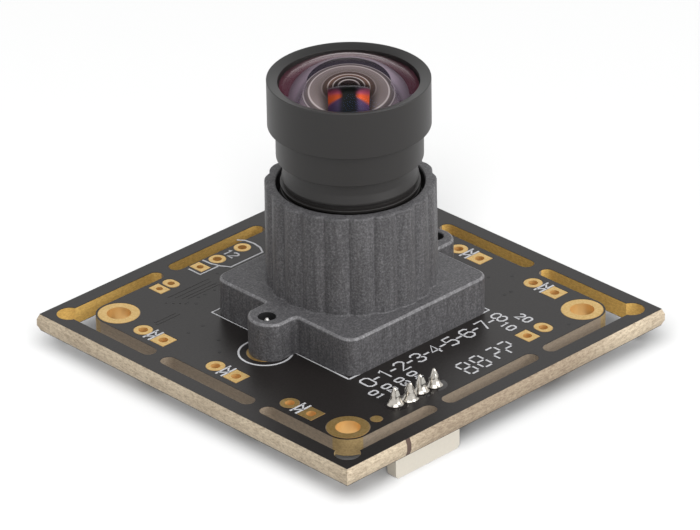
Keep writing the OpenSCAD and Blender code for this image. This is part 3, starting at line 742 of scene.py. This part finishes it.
ferrite = makePlain("pressedFerrite", "#393838", 0.6)  # pressed powder, dry dark grey
tanCeramic = makePlain("tanCeramic", "#9a7b58", 0.5)  # fired capacitor, tan and matt
glazedBlack = makePlain("glazedBlack", "#1c1c1e", 0.25)  # resistor's glaze, black and shiny
filterGlass = makeGlass("filterGlass", "#cfe4e8", 420, 1.6, 1.5)  # pale cyan with a coloured shine
coverGlass = makeGlass("coverGlass", "#eef6f8", 250, 1.4, 1.5)  # all but clear

for part, material in {
    "circuit_board": fibreglass, "solder_mask_top": solderMask, "solder_mask_bottom": solderMask,
    "mounting_hole_rings": gold, "screw_pad_rings": gold, "lamp_pads_round": gold,
    "lamp_pads_square": gold, "edge_pads_square": gold, "edge_pads_oval": gold, "edge_pads_round": gold,
    "reference_dot": gold, "holder_screws": nickelSteel, "front_spacer": innerBlack,
    "middle_spacer": innerBlack, "rear_spacer": innerBlack, "aperture_stop": innerBlack,
    "infrared_filter": filterGlass, "image_sensor": epoxy, "sensor_glass": coverGlass,
    "connector_pins": tinned, "memory_leads": tinned, "regulator_leads": tinned,
    "capacitor_ends": tinned, "resistor_ends": tinned,
}.items():
    parts[part].material_slots[0].material = material
print("materials ready")


# Geometry Nodes: a tree is built, its inputs are set, and the result becomes a plain mesh

def newTree(name, inputs):
    tree = bpy.data.node_groups.new(name, "GeometryNodeTree")
    for label, kind in inputs.items():
        tree.interface.new_socket(name=label, in_out="INPUT", socket_type="NodeSocket" + kind)
    tree.interface.new_socket(name="Geometry", in_out="OUTPUT", socket_type="NodeSocketGeometry")
    return tree, addNode(tree, "NodeGroupInput").outputs


def endTree(tree, geometry, material):
    real = addNode(tree, "GeometryNodeRealizeInstances", [geometry])
    painted = addNode(tree, "GeometryNodeSetMaterial", {"Geometry": real, "Material": material})
    addNode(tree, "NodeGroupOutput", [painted])


def meshFromTree(name, tree, values, source=None):
    carrier = bpy.data.objects.new(name, source or bpy.data.meshes.new(name))
    bpy.context.scene.collection.objects.link(carrier)
    modifier = carrier.modifiers.new(tree.name, "NODES")
    modifier.node_group = tree
    for item in tree.interface.items_tree:
        if item.in_out == "INPUT" and item.name in values:
            modifier[item.identifier] = values[item.name]
    bakeModifiers(carrier)
    mesh = carrier.data
    bpy.data.objects.remove(carrier)
    return mesh


# Lens holder: base, ears and ribbed tower in one moulding

holder = {
    "baseHalf": (holderHigh.y - holderLow.y) / 2,
    "baseHeight": 3.5,
    "cornerRadius": 1.25,
    "earX": 10,
    "earHalf": 1.85,
    "earEnd": 2,  # radius of the ear's end
    "earEndBack": 0.5,  # its centre is this far inside the screw
    "earRoot": 0.3,
    "topRound": 0.3,
    "highlightSteps": (2, 3, 4),  # the middle of that rounding is painted pale, as a highlight along the edge
    "boreRadius": 0.78,
    "boreFlare": 1.1,  # how much wider the bore is at its mouth
    "ribCount": 21,
    "ribRadius": 1.67,
    "crestRadius": 7.37,
    "firstNotch": -135.5,
    "pointsPerRib": 16,
    "footFillet": 0.14,
    "rimRound": 0.2,
    "chamfer": 0.08,
    "draft": 0.07,  # the tower is this much slimmer at its rim
    "mouthRadius": 6.31,
    "mouthDepth": 1.7,
    "threadBore": 5.98,
    "threadFloor": 3.4,
    "opening": 4,
    "pocketHalf": 6.6,
    "pocketHeight": 2.6,
    "pocketCorner": 0.8,
}


def holderOutline():
    h = holder
    half, ear = h["baseHalf"], h["earHalf"]
    swing = math.degrees(math.asin(ear / h["earEnd"]))
    side = [(half, -half, h["cornerRadius"]), (half, -ear, h["earRoot"])]
    side += arcPath((h["earX"] - h["earEndBack"], 0), h["earEnd"], -swing, swing, 16)
    side += [(half, ear, h["earRoot"]), (half, half, h["cornerRadius"])]
    corners = side + [(-c[0], -c[1], *c[2:]) for c in side]
    return [Vector(p[:2]) for p in roundedPath(corners, step=12)]


def ribRadiusAt(angle):
    h = holder
    pitch = 2 * math.pi / h["ribCount"]
    off = (angle - math.radians(h["firstNotch"])) % pitch - pitch / 2
    crest = h["crestRadius"] - h["ribRadius"]
    return crest * math.cos(off) + math.sqrt(h["ribRadius"] ** 2 - (crest * math.sin(off)) ** 2)


def makeHolder():
    h = holder
    bm = bmesh.new()
    top, foot, chamfer = h["baseHeight"], h["footFillet"], h["chamfer"]
    rimZ = holderHigh.z - holderLow.z
    centre = Vector((lensAxis.x, lensAxis.y, holderLow.z))
    columns = h["ribCount"] * h["pointsPerRib"]
    angles = [math.radians(h["firstNotch"]) + 2 * math.pi * k / columns for k in range(columns)]

    def loopAt(points, z):
        return [bm.verts.new((centre + Vector((p[0], p[1], z))) * mm) for p in points]

    def polar(radius, z):
        radii = radius if isinstance(radius, list) else [radius] * columns
        return loopAt([(r * math.cos(a), r * math.sin(a)) for r, a in zip(radii, angles)], z)

    outline = holderOutline()
    walls = [loopAt(outline, 0)]
    for a in [math.radians(18 * k) for k in range(6)]:  # the rounded edge of the base
        inset = h["topRound"] * (1 - math.cos(a))
        walls.append(loopAt(offsetLoop(outline, inset), top - h["topRound"] * (1 - math.sin(a))))
    # the middle steps of the rounding take the paler nylon, a painted highlight
    for k, (low, high) in enumerate(zip(walls, walls[1:])):
        bridge(bm, low, high, 1 if k in h["highlightSteps"] else 0)

    ribs = [ribRadiusAt(a) for a in angles]
    quarter = [math.radians(30 * k) for k in range(4)]
    tower = [polar([r + foot * (1 - math.sin(a)) for r in ribs], top + foot * (1 - math.cos(a)))
             for a in quarter]  # fillet where the tower meets the base
    tower += [polar([r - h["draft"] - h["rimRound"] * (1 - math.cos(a)) for r in ribs],
                    rimZ - h["rimRound"] * (1 - math.sin(a))) for a in quarter]
    mouthZ = rimZ - h["mouthDepth"]
    tower += [polar(radius, z) for radius, z in (
        (h["mouthRadius"] + chamfer, rimZ), (h["mouthRadius"], rimZ - chamfer),
        (h["mouthRadius"], mouthZ), (h["threadBore"], mouthZ), (h["threadBore"], h["threadFloor"]),
        (h["opening"], h["threadFloor"]), (h["opening"], h["pocketHeight"]))]
    for low, high in zip(tower, tower[1:]):
        bridge(bm, low, high)

    bores = []
    for x in (-h["earX"], h["earX"]):
        ring = arcPath((x, 0), h["boreRadius"], 0, 352.5, 47)
        wide = arcPath((x, 0), h["boreRadius"] * h["boreFlare"], 0, 352.5, 47)
        bore = [loopAt(ring, 0), loopAt(ring, top - chamfer), loopAt(wide, top)]
        # the lower part of each bore is painted almost black, as shade
        bridge(bm, bore[0], bore[1], 2)
        bridge(bm, bore[1], bore[2])
        bores.append(bore)
    half, corner = h["pocketHalf"], h["pocketCorner"]
    pocket = roundedPath([(half, -half, corner), (half, half, corner), (-half, half, corner),
                          (-half, -half, corner)])
    pocketLow, pocketHigh = loopAt(pocket, 0), loopAt(pocket, h["pocketHeight"])
    bridge(bm, pocketLow, pocketHigh)
    fillFlat(bm, [walls[-1], tower[0], bores[0][2], bores[1][2]])
    fillFlat(bm, [walls[0], pocketLow, bores[0][0], bores[1][0]])
    fillFlat(bm, [pocketHigh, tower[-1]])
    makePiece("holderMoulding", bm, [nylon, edgeHighlightNylon, boreNylon], "holder", replaced=("lens_holder",),
              sharp=32)


makeHolder()
print("lens holder made")


# Lens barrel, turned

barrel = {
    "rimZ": barrelHigh.z,
    "footZ": barrelLow.z,
    "headRadius": (barrelHigh.x - barrelLow.x) / 2,
    "headHeight": 4.25,
    "stageRadius": 6.24,
    "stageHeight": 2.87,
    "neckRadius": 5.6,
    "neckEnd": 1.2,  # below the stage
    "neckRound": 0.6,
    "collarTop": 1.95,
    "collarEnd": 2.05,
    "collarRadius": 5.8,
    "collarSlope": 0.1,
    "threadEnd": 2.38,
    "threadRadius": 5.94,
    "threadDepth": 0.3,
    "threadPitch": 0.5,
    "ridgeShare": 0.4,  # of the pitch
    "plainTurns": 3,
    "rimInner": 5.96,
    "rimDish": 0.3,
    "edgeBreak": 0.07,
    "fineBreak": 0.05,
    "blackFrom": 0.4,  # below the front element's edge the bore is matt black
    "elementGap": 0.02,
    "rearLip": 0.5,
}

frontEdgeZ = barrel["rimZ"] - barrel["rimDish"] - lens["frontEdge"]
frontSeatZ = frontEdgeZ - lens["frontSeat"]
secondSeatZ = frontSeatZ - lens["secondSeat"]
secondTopZ = frontSeatZ + lens["secondTop"]
thirdTopZ = secondSeatZ - lens["thirdTop"]
thirdSeatZ = thirdTopZ - lens["thirdHeight"]
stopZ = thirdSeatZ - lens["stopThickness"]
rearSeatZ = barrel["footZ"] + lens["rearSeat"]


def makeBarrel():
    b = barrel
    bm = bmesh.new()
    headZ = b["rimZ"] - b["headHeight"]
    stageZ = headZ - b["stageHeight"]
    core = b["threadRadius"] - b["threadDepth"]
    edge, fine = b["edgeBreak"], b["fineBreak"]
    second, third, rear = [lens[k] + b["elementGap"] for k in ("secondRadius", "thirdRadius", "rearRadius")]
    rearOpen = lens["rearRadius"] - b["rearLip"]
    crests = []  # the first turns of the thread show as plain rings above the holder
    for k in reversed(range(b["plainTurns"])):
        crestZ = stageZ - b["threadEnd"] - k * b["threadPitch"]
        crests += [(radius, crestZ - b["threadPitch"] * drop, rounding) for radius, drop, rounding in (
            (core, 0.8, 0), (b["threadRadius"], 0.6, 0.06), (b["threadRadius"], 0.1, 0.06), (core, 0, 0))]
    corners = [(rearOpen, b["footZ"], 0, 1), (core, b["footZ"], fine)] + crests + [
        (core, stageZ - b["collarEnd"] - b["collarSlope"], 0),
        (b["collarRadius"], stageZ - b["collarEnd"], edge),
        (b["collarRadius"], stageZ - b["collarTop"] + b["collarSlope"], fine),
        (b["neckRadius"], stageZ - b["neckEnd"], b["neckRound"]), (b["neckRadius"], stageZ, fine),
        (b["stageRadius"], stageZ, edge), (b["stageRadius"], headZ, 0.04),
        (b["headRadius"], headZ, edge), (b["headRadius"], b["rimZ"], edge, 2),
        (b["rimInner"], b["rimZ"] - b["rimDish"], fine),
        (b["rimInner"], frontEdgeZ - b["blackFrom"], 0, 1), (b["rimInner"], frontSeatZ, 0, 1),
        (second, frontSeatZ, 0, 1), (second, secondSeatZ, 0, 1), (third, secondSeatZ, 0, 1),
        (third, stopZ, 0, 1), (rear, stopZ, 0, 1), (rear, rearSeatZ, 0, 1), (rearOpen, rearSeatZ, 0, 1)]
    lathe(bm, corners, lensAxis, 192)
    makePiece("turnedBarrel", bm, [anodised, innerBlack, faceRim], "barrel", replaced=("lens_barrel",),
              sharp=30)


def makeThread():
    b = barrel
    tree, given = newTree("screwThread", {"Radius": "Float", "Ridge": "Float", "Pitch": "Float",
                                          "Turns": "Float", "Place": "Vector"})
    height = addNode(tree, "ShaderNodeMath", [given["Pitch"], given["Turns"]], operation="MULTIPLY")
    helix = addNode(tree, "GeometryNodeCurveSpiral", {
        "Resolution": 72, "Rotations": given["Turns"], "Start Radius": given["Radius"],
        "End Radius": given["Radius"], "Height": height})
    ridge = addNode(tree, "GeometryNodeCurvePrimitiveCircle", {"Resolution": 8, "Radius": given["Ridge"]})
    sweep = addNode(tree, "GeometryNodeCurveToMesh", {
        "Curve": helix, "Profile Curve": ridge, "Fill Caps": True})
    placed = addNode(tree, "GeometryNodeTransform", {"Geometry": sweep, "Translation": given["Place"]})
    endTree(tree, placed, anodised)
    ridgeSize = b["threadPitch"] * b["ridgeShare"]
    startZ = b["rimZ"] - b["headHeight"] - b["stageHeight"] - b["threadEnd"]
    top = startZ - b["plainTurns"] * b["threadPitch"]
    low = b["footZ"] + ridgeSize
    mesh = meshFromTree("barrelThread", tree, {
        "Radius": (b["threadRadius"] - ridgeSize) * mm, "Ridge": ridgeSize * mm,
        "Pitch": b["threadPitch"] * mm, "Turns": (top - low) / b["threadPitch"],
        "Place": Vector((lensAxis.x, lensAxis.y, low)) * mm})
    finishPiece("barrelThread", mesh, [], "barrel", weighted=False)


def domePath(radius, top, curve, steps, tag=0):
    # from the axis outwards, over a dome whose middle is at top
    reach = math.degrees(math.asin(radius / curve))
    arc = arcPath((0, top - curve), curve, 90, 90 - reach, steps, tag)
    return [(0, *arc[0][1:])] + arc[1:]


def hollowPath(radius, drop, seat, steps, tag):
    # a hollow in the back of an element, deepest on the axis, that ends just above its seat
    path = domePath(math.sqrt(radius ** 2 - drop ** 2), seat - drop + radius, radius, steps, tag)
    path[-1] = (path[-1][0], seat + lens["seatGap"], 0, tag)
    return path


def makeElement(name, part, material, slot, face, edge, back, finishes=()):
    # face and back run from the axis outwards, edge joins them and is inked
    bm = bmesh.new()
    lathe(bm, face + edge + list(reversed(back)), lensAxis, closed=False)
    piece = makePiece(name, bm, [material, inkWithPaintedReflection, *finishes], slot, replaced=(part,), sharp=25,
                      weighted=False)
    piece.visible_shadow = False  # light goes straight through the glass to the finishes inside


def makeLenses():
    o = lens
    radius, curve, soft, gap = o["frontRadius"], o["frontCurve"], o["frontBreak"], o["seatGap"]
    rise = curve - math.sqrt(curve ** 2 - radius ** 2)
    face = domePath(radius - soft, frontEdgeZ + rise, curve, 32)
    edge = [(radius, frontEdgeZ - soft, 0, 1), (radius, frontSeatZ + gap, 0, 1)]
    hollow = hollowPath(o["frontHollow"], o["frontHollowDrop"], frontSeatZ, 32, 3)
    back = [(x, z, 0, 2 if x > o["frontGround"] else tag) for x, z, rounding, tag in hollow]
    makeElement("frontElement", "front_lens", frontGlass, "coated_glass", face, edge, back,
                [lilacGround, clearBack])

    dome, radius = o["secondDome"], o["secondRadius"]
    wallZ = secondSeatZ + o["secondFlange"]
    face = domePath(dome, secondTopZ, o["secondCurve"], 24, 2)
    edge = [(dome, wallZ, 0, 0), (radius, wallZ, 0, 1), (radius, secondSeatZ + gap, 0, 1)]
    back = hollowPath(o["secondHollow"], o["secondHollowDrop"], secondSeatZ, 24, 3)
    makeElement("secondElement", "second_lens", innerGlass, "inner_glass", face, edge, back,
                [ringedGlass, innerCoating])

    for key, seat, top in (("third", thirdSeatZ, thirdTopZ),
                           ("rear", rearSeatZ, rearSeatZ + o["rearHeight"])):
        radius, dome, flange, curve = [o[key + k] for k in ("Radius", "Dome", "Flange", "Curve")]
        low = seat + gap
        edge = [(dome, seat + flange, 0, 0), (radius, seat + flange, 0, 1), (radius, low, 0, 1)]
        makeElement(key + "Element", key + "_lens", innerGlass, "inner_glass",
                    domePath(dome, top, curve, 20), edge, [(0, low, 0, 0), (dome, low, 0, 0)])


makeBarrel()
makeThread()
makeLenses()
print("lens made")


# Solder joints: one swept shape on every pin, each turned, leant and sized a little differently

joint = {
    "first": (-8.58, -14.15, 0),
    "step": (1.5, 0, 0),
    "count": 4,
    "height": 3.16,  # from the underside, through the hole and up over the pin
    "rings": 90,
    "sides": 32,
    "outline": [  # share of the height and radius in mm
        (0, 0.4), (0.5, 0.42), (0.506, 0.75), (0.53, 0.7), (0.56, 0.62), (0.6, 0.545), (0.65, 0.475),
        (0.71, 0.415), (0.77, 0.365), (0.83, 0.3), (0.89, 0.23), (0.95, 0.155), (0.98, 0.1), (1, 0.02)],
    "lean": 4,  # degrees
    "smallest": 0.93,
    "largest": 1.04,
    "lump": 0.09,  # mm
    "lumpsPerMm": 1.6,
    "seed": 5,
    "residue": [(-8.58, -14.2, 1.05), (-7.08, -14.1, 1), (-5.58, -14.2, 1.02), (-4.08, -14.15, 1.1)],
    "residueHeight": 0.03,
    "residueFoot": 0.01,  # sunk into the mask
}


def makeJoints():
    j = joint
    tree, given = newTree("solderJoints", {"First": "Vector", "Step": "Vector", "Count": "Int",
                                           "Height": "Float", "Lump": "Float", "Seed": "Int"})
    stem = addNode(tree, "GeometryNodeCurvePrimitiveLine", {
        "Direction": (0, 0, 1), "Length": given["Height"]}, mode="DIRECTION")
    fine = addNode(tree, "GeometryNodeResampleCurve", {"Curve": stem, "Count": j["rings"]})
    along = addNode(tree, "GeometryNodeSplineParameter").outputs["Factor"]
    shape = addNode(tree, "ShaderNodeFloatCurve", {"Value": along})
    points = shape.mapping.curves[0].points
    while len(points) < len(j["outline"]):
        points.new(0.5, 0.5)
    for point, place in zip(points, j["outline"]):
        point.location = place
    shape.mapping.update()
    scale = addNode(tree, "ShaderNodeMath", [shape, mm], operation="MULTIPLY")
    ring = addNode(tree, "GeometryNodeCurvePrimitiveCircle", {"Resolution": j["sides"], "Radius": 1.0})
    sweep = addNode(tree, "GeometryNodeCurveToMesh", {
        "Curve": fine, "Profile Curve": ring, "Scale": scale, "Fill Caps": True})
    order = addNode(tree, "GeometryNodeInputIndex")
    walk = addNode(tree, "ShaderNodeVectorMath", {0: given["Step"], "Scale": order}, operation="SCALE")
    place = addNode(tree, "ShaderNodeVectorMath", [given["First"], walk], operation="ADD")
    pins = addNode(tree, "GeometryNodePoints", {"Count": given["Count"], "Position": place})
    lean = math.radians(j["lean"])
    turn = addNode(tree, "FunctionNodeRandomValue", {
        0: (-lean, -lean, 0), 1: (lean, lean, 6.28), "Seed": given["Seed"]}, data_type="FLOAT_VECTOR")
    size = addNode(tree, "FunctionNodeRandomValue", {
        2: j["smallest"], 3: j["largest"], "Seed": given["Seed"]}, data_type="FLOAT")
    stretch = addNode(tree, "ShaderNodeCombineXYZ", [size, size, 1.0])
    copies = addNode(tree, "GeometryNodeInstanceOnPoints", {
        "Points": pins, "Instance": sweep, "Rotation": turn, "Scale": stretch})
    real = addNode(tree, "GeometryNodeRealizeInstances", [copies])
    spot = addNode(tree, "GeometryNodeInputPosition")
    uneven = addNode(tree, "ShaderNodeTexNoise", {
        "Vector": spot, "Scale": j["lumpsPerMm"] / mm, "Detail": 1}).outputs["Color"]
    centred = addNode(tree, "ShaderNodeVectorMath", [uneven, (0.5, 0.5, 0.5)], operation="SUBTRACT")
    flat = addNode(tree, "ShaderNodeVectorMath", [centred, (1, 1, 0)], operation="MULTIPLY")
    push = addNode(tree, "ShaderNodeVectorMath", {0: flat, "Scale": given["Lump"]}, operation="SCALE")
    moved = addNode(tree, "GeometryNodeSetPosition", {"Geometry": real, "Offset": push})
    endTree(tree, moved, brightSolder)
    mesh = meshFromTree("solderJoints", tree, {
        "First": Vector(j["first"]) * mm, "Step": Vector(j["step"]) * mm, "Count": j["count"],
        "Height": j["height"] * mm, "Lump": j["lump"] * mm, "Seed": j["seed"]})
    finishPiece("solderJoints", mesh, [], "solder", ("solder_joints",), sharp=60)


def makeResidue():
    j = joint
    high, low = boardTop + j["residueHeight"], boardTop - j["residueFoot"]
    bm = bmesh.new()
    for x, y, reach in j["residue"]:
        corners = [(0, high, 0), (reach * 0.75, high - 0.002, 0.1), (reach, boardTop + 0.002, 0),
                   (reach * 0.9, low, 0), (0, low, 0)]
        lathe(bm, corners, Vector((x, y, 0)), 40, closed=False)
    makePiece("fluxResidue", bm, [flux], "mask", sharp=60)


makeJoints()
makeResidue()
print("solder made")


# White legend, copper traces under the mask, and small plated holes

legend = {
    "width": 0.18,
    "thickness": 0.024,
    "holderHalf": 8.38,
    "earX": -10,
    "earReach": 2.3,
    "lampPads": [(x, y) for x in (-14.55, 14.55) for y in (-8.95, 0.05, 9.05)],
    "lampMark": [[(-0.9, -0.32), (0.9, -0.32)], [(-0.9, 0.32), (0.9, 0.32)],
                 [(-0.6, 0.3), (0, -0.3), (0.6, 0.3)]],
    "edgeMarks": [[(-4.4, 15.6), (-4.4, 14.1), (-2.3, 14.1)],
                  [(-2.45, 15.9), (-2.4, 14.9), (-2.1, 14), (-1.6, 13.2), (2.2, 13.2), (2.65, 14),
                   (2.8, 14.9), (2.65, 15.9), (2.2, 16.5)]],
    "numbers": [  # text, start, turn, height, spacing
        ("0-1-2-3-4-5-6-7-8", (-8.1, -10.6), 0, 1.4, 0.98),
        ("01", (-8.95, -11.2), -90, 0.8, 0.74), ("02", (-7.45, -11.2), -90, 0.8, 0.74),
        ("03", (-5.95, -11.2), -90, 0.8, 0.74), ("04", (-4.45, -11.2), -90, 0.8, 0.74),
        ("10", (7.0, -10.8), -90, 0.85, 0.85), ("20", (9.0, -10.8), -90, 0.85, 0.85),
        ("12", (-0.4, 15.7), -90, 0.9, 0.8)],
    "glyphs": {  # strokes on a grid 4 wide and 6 high
        "0": [[(0, 1), (0, 5), (1, 6), (3, 6), (4, 5), (4, 1), (3, 0), (1, 0), (0, 1)]],
        "1": [[(1, 5), (2.4, 6), (2.4, 0)]],
        "2": [[(0, 5), (1, 6), (3, 6), (4, 5), (4, 4), (0, 0), (4, 0)]],
        "3": [[(0, 5), (1, 6), (3, 6), (4, 5), (4, 4), (3, 3), (1.5, 3)],
              [(3, 3), (4, 2), (4, 1), (3, 0), (1, 0), (0, 1)]],
        "4": [[(3, 0), (3, 6), (0, 2), (4, 2)]],
        "5": [[(4, 6), (0.3, 6), (0, 3.4), (3, 3.6), (4, 2.6), (4, 1), (3, 0), (0, 0.5)]],
        "6": [[(4, 5), (3, 6), (1, 6), (0, 5), (0, 1), (1, 0), (3, 0), (4, 1), (4, 2.4), (3, 3.4),
               (0, 3)]],
        "7": [[(0, 6), (4, 6), (1.5, 0)]],
        "8": [[(1, 3), (0, 4), (0, 5), (1, 6), (3, 6), (4, 5), (4, 4), (3, 3), (1, 3), (0, 2), (0, 1),
               (1, 0), (3, 0), (4, 1), (4, 2), (3, 3)]],
        "-": [[(0.6, 3), (3.4, 3)]],
    },
    "dashesY": -15.1,
    "dashes": [(-0.7, 7), (0.9, 7), (2.9, 4), (4.3, 4)],  # numerals of dashes: x, how many are inked
    "dashStrokes": [((0.2, 2), (0.9, 2)), ((1.05, 1.85), (1.05, 1.15)), ((0.2, 1), (0.9, 1)),
                    ((0.05, 0.85), (0.05, 0.15)), ((0.2, 0), (0.9, 0)), ((1.05, 0.85), (1.05, 0.15)),
                    ((0.05, 1.85), (0.05, 1.15))],
    "traces": [[(-9.6, 11.9), (-8.9, 12.6), (-4.6, 12.6)], [(-9.2, 11.5), (-8.6, 12.1), (-4.4, 12.1)],
               [(-8.9, 11.1), (-8.2, 11.7), (-4.3, 11.7)], [(-10, 12.4), (-9.3, 13.1), (-4.4, 13.1)],
               [(-13, 10.6), (-10.6, 10.6)], [(-13.1, 10.2), (-10.5, 10.2)]],
    "traceWidth": 0.2,
    "traceThickness": 0.03,
    "vias": [(-8.6, 11.2), (-7.3, 11.2), (-6.6, 11.2), (-5.4, 11.2), (-4.7, 12), (-8.2, 10.5),
             (-12.2, 7.2), (-10.5, 7.2), (-12.7, 2.8), (-11.3, 4.4), (14.2, -5.5), (11.3, -7.4),
             (12.1, -7.4), (11.3, -15), (10.6, -3.1), (12.6, -4.2), (-3.2, 13.2)],
    "viaReach": 0.15,
    "viaDepth": 0.02,
}


def shifted(stroke, x, y):
    return [(x + px, y + py) for px, py in stroke]


def numberStrokes(text, start, turn, height, spacing):
    strokes = []
    unit = height / 6
    for k, sign in enumerate(text):
        for stroke in legend["glyphs"][sign]:
            turned = [Matrix.Rotation(math.radians(turn), 2) @ Vector((x * unit + k * spacing, y * unit))
                      for x, y in stroke]
            strokes.append(shifted(turned, *start))
    return strokes


def legendStrokes():
    g = legend
    h = g["holderHalf"]
    swing = math.degrees(math.acos((-g["earX"] - h) / g["earReach"]))
    ear = arcPath((g["earX"], 0), g["earReach"], 360 - swing, swing, 28)
    strokes = [[(-h, -h)] + [point[:2] for point in ear] + [(-h, h), (h, h), (h, -h), (-h, -h)]]
    strokes += [shifted(stroke, x, y) for x, y in g["lampPads"] for stroke in g["lampMark"]]
    strokes += g["edgeMarks"]
    for number in g["numbers"]:
        strokes += numberStrokes(*number)
    for x, count in g["dashes"]:
        strokes += [shifted(stroke, x, g["dashesY"]) for stroke in g["dashStrokes"][:count]]
    return strokes


def sweptLines(name, strokes, width, thickness, material, slot):
    tree, given = newTree(name, {"Lines": "Geometry", "Width": "Float", "Thickness": "Float"})
    curve = addNode(tree, "GeometryNodeMeshToCurve", {"Mesh": given["Lines"]})
    level = addNode(tree, "GeometryNodeSetCurveNormal", {"Curve": curve}, mode="Z_UP")
    section = addNode(tree, "GeometryNodeCurvePrimitiveQuadrilateral", {
        "Width": given["Width"], "Height": given["Thickness"]})
    sweep = addNode(tree, "GeometryNodeCurveToMesh", {
        "Curve": level, "Profile Curve": section, "Fill Caps": True})
    endTree(tree, sweep, material)
    spots = [Vector((x, y, boardTop)) * mm for stroke in strokes for x, y in stroke]
    joins = []
    start = 0
    for stroke in strokes:
        joins += [(start + k, start + k + 1) for k in range(len(stroke) - 1)]
        start += len(stroke)
    source = bpy.data.meshes.new(name)
    source.from_pydata(spots, joins, [])
    mesh = meshFromTree(name, tree, {"Width": width * mm, "Thickness": thickness * mm}, source)
    finishPiece(name, mesh, [], slot, weighted=False)


def makeVias():
    g = legend
    tree, given = newTree("plugs", {"Places": "Geometry", "Reach": "Float", "Depth": "Float"})
    disc = addNode(tree, "GeometryNodeMeshCylinder", {
        "Vertices": 20, "Radius": given["Reach"], "Depth": given["Depth"]})
    copies = addNode(tree, "GeometryNodeInstanceOnPoints", {"Points": given["Places"], "Instance": disc})
    endTree(tree, copies, viaShadeDot)
    source = bpy.data.meshes.new("vias")
    source.from_pydata([Vector((x, y, boardTop)) * mm for x, y in g["vias"]], [], [])
    mesh = meshFromTree("vias", tree, {"Reach": g["viaReach"] * mm, "Depth": g["viaDepth"] * mm}, source)
    finishPiece("vias", mesh, [], "mask", weighted=False)


sweptLines("legendInk", legendStrokes(), legend["width"], legend["thickness"], legendInk, "ivory")
sweptLines("coveredTraces", legend["traces"], legend["traceWidth"], legend["traceThickness"], solderMask,
           "mask")
makeVias()
print("legend made")


# Header and the small parts, with their edges broken

smallParts = {  # name, material, slot and how much is broken off its edges in mm
    "connector_housing": ("headerHousing", ivoryNylon, "ivory", 0.08),
    "controller_chip": ("controllerBody", epoxy, "chip", 0.06),
    "memory_chip": ("memoryBody", epoxy, "chip", 0.06),
    "regulators": ("regulatorBodies", epoxy, "chip", 0.05),
    "crystal": ("crystalCan", platedLid, "can", 0.08),
    "inductor": ("inductorBody", ferrite, "ferrite", 0.1),
    "capacitor_bodies": ("capacitorCeramics", tanCeramic, "ceramic_tan", 0.05),
    "resistor_bodies": ("resistorCeramics", glazedBlack, "resistor_black", 0.04),
}

for part, (name, material, slot, width) in smallParts.items():
    softenedCopy(part, name, material, slot, width)
print("small parts made")

for name in studio["noShadow"]:
    tallPieces.objects.link(bpy.data.objects[name])
for item in tallPieces.collection_objects:
    item.light_linking.link_state = "EXCLUDE"
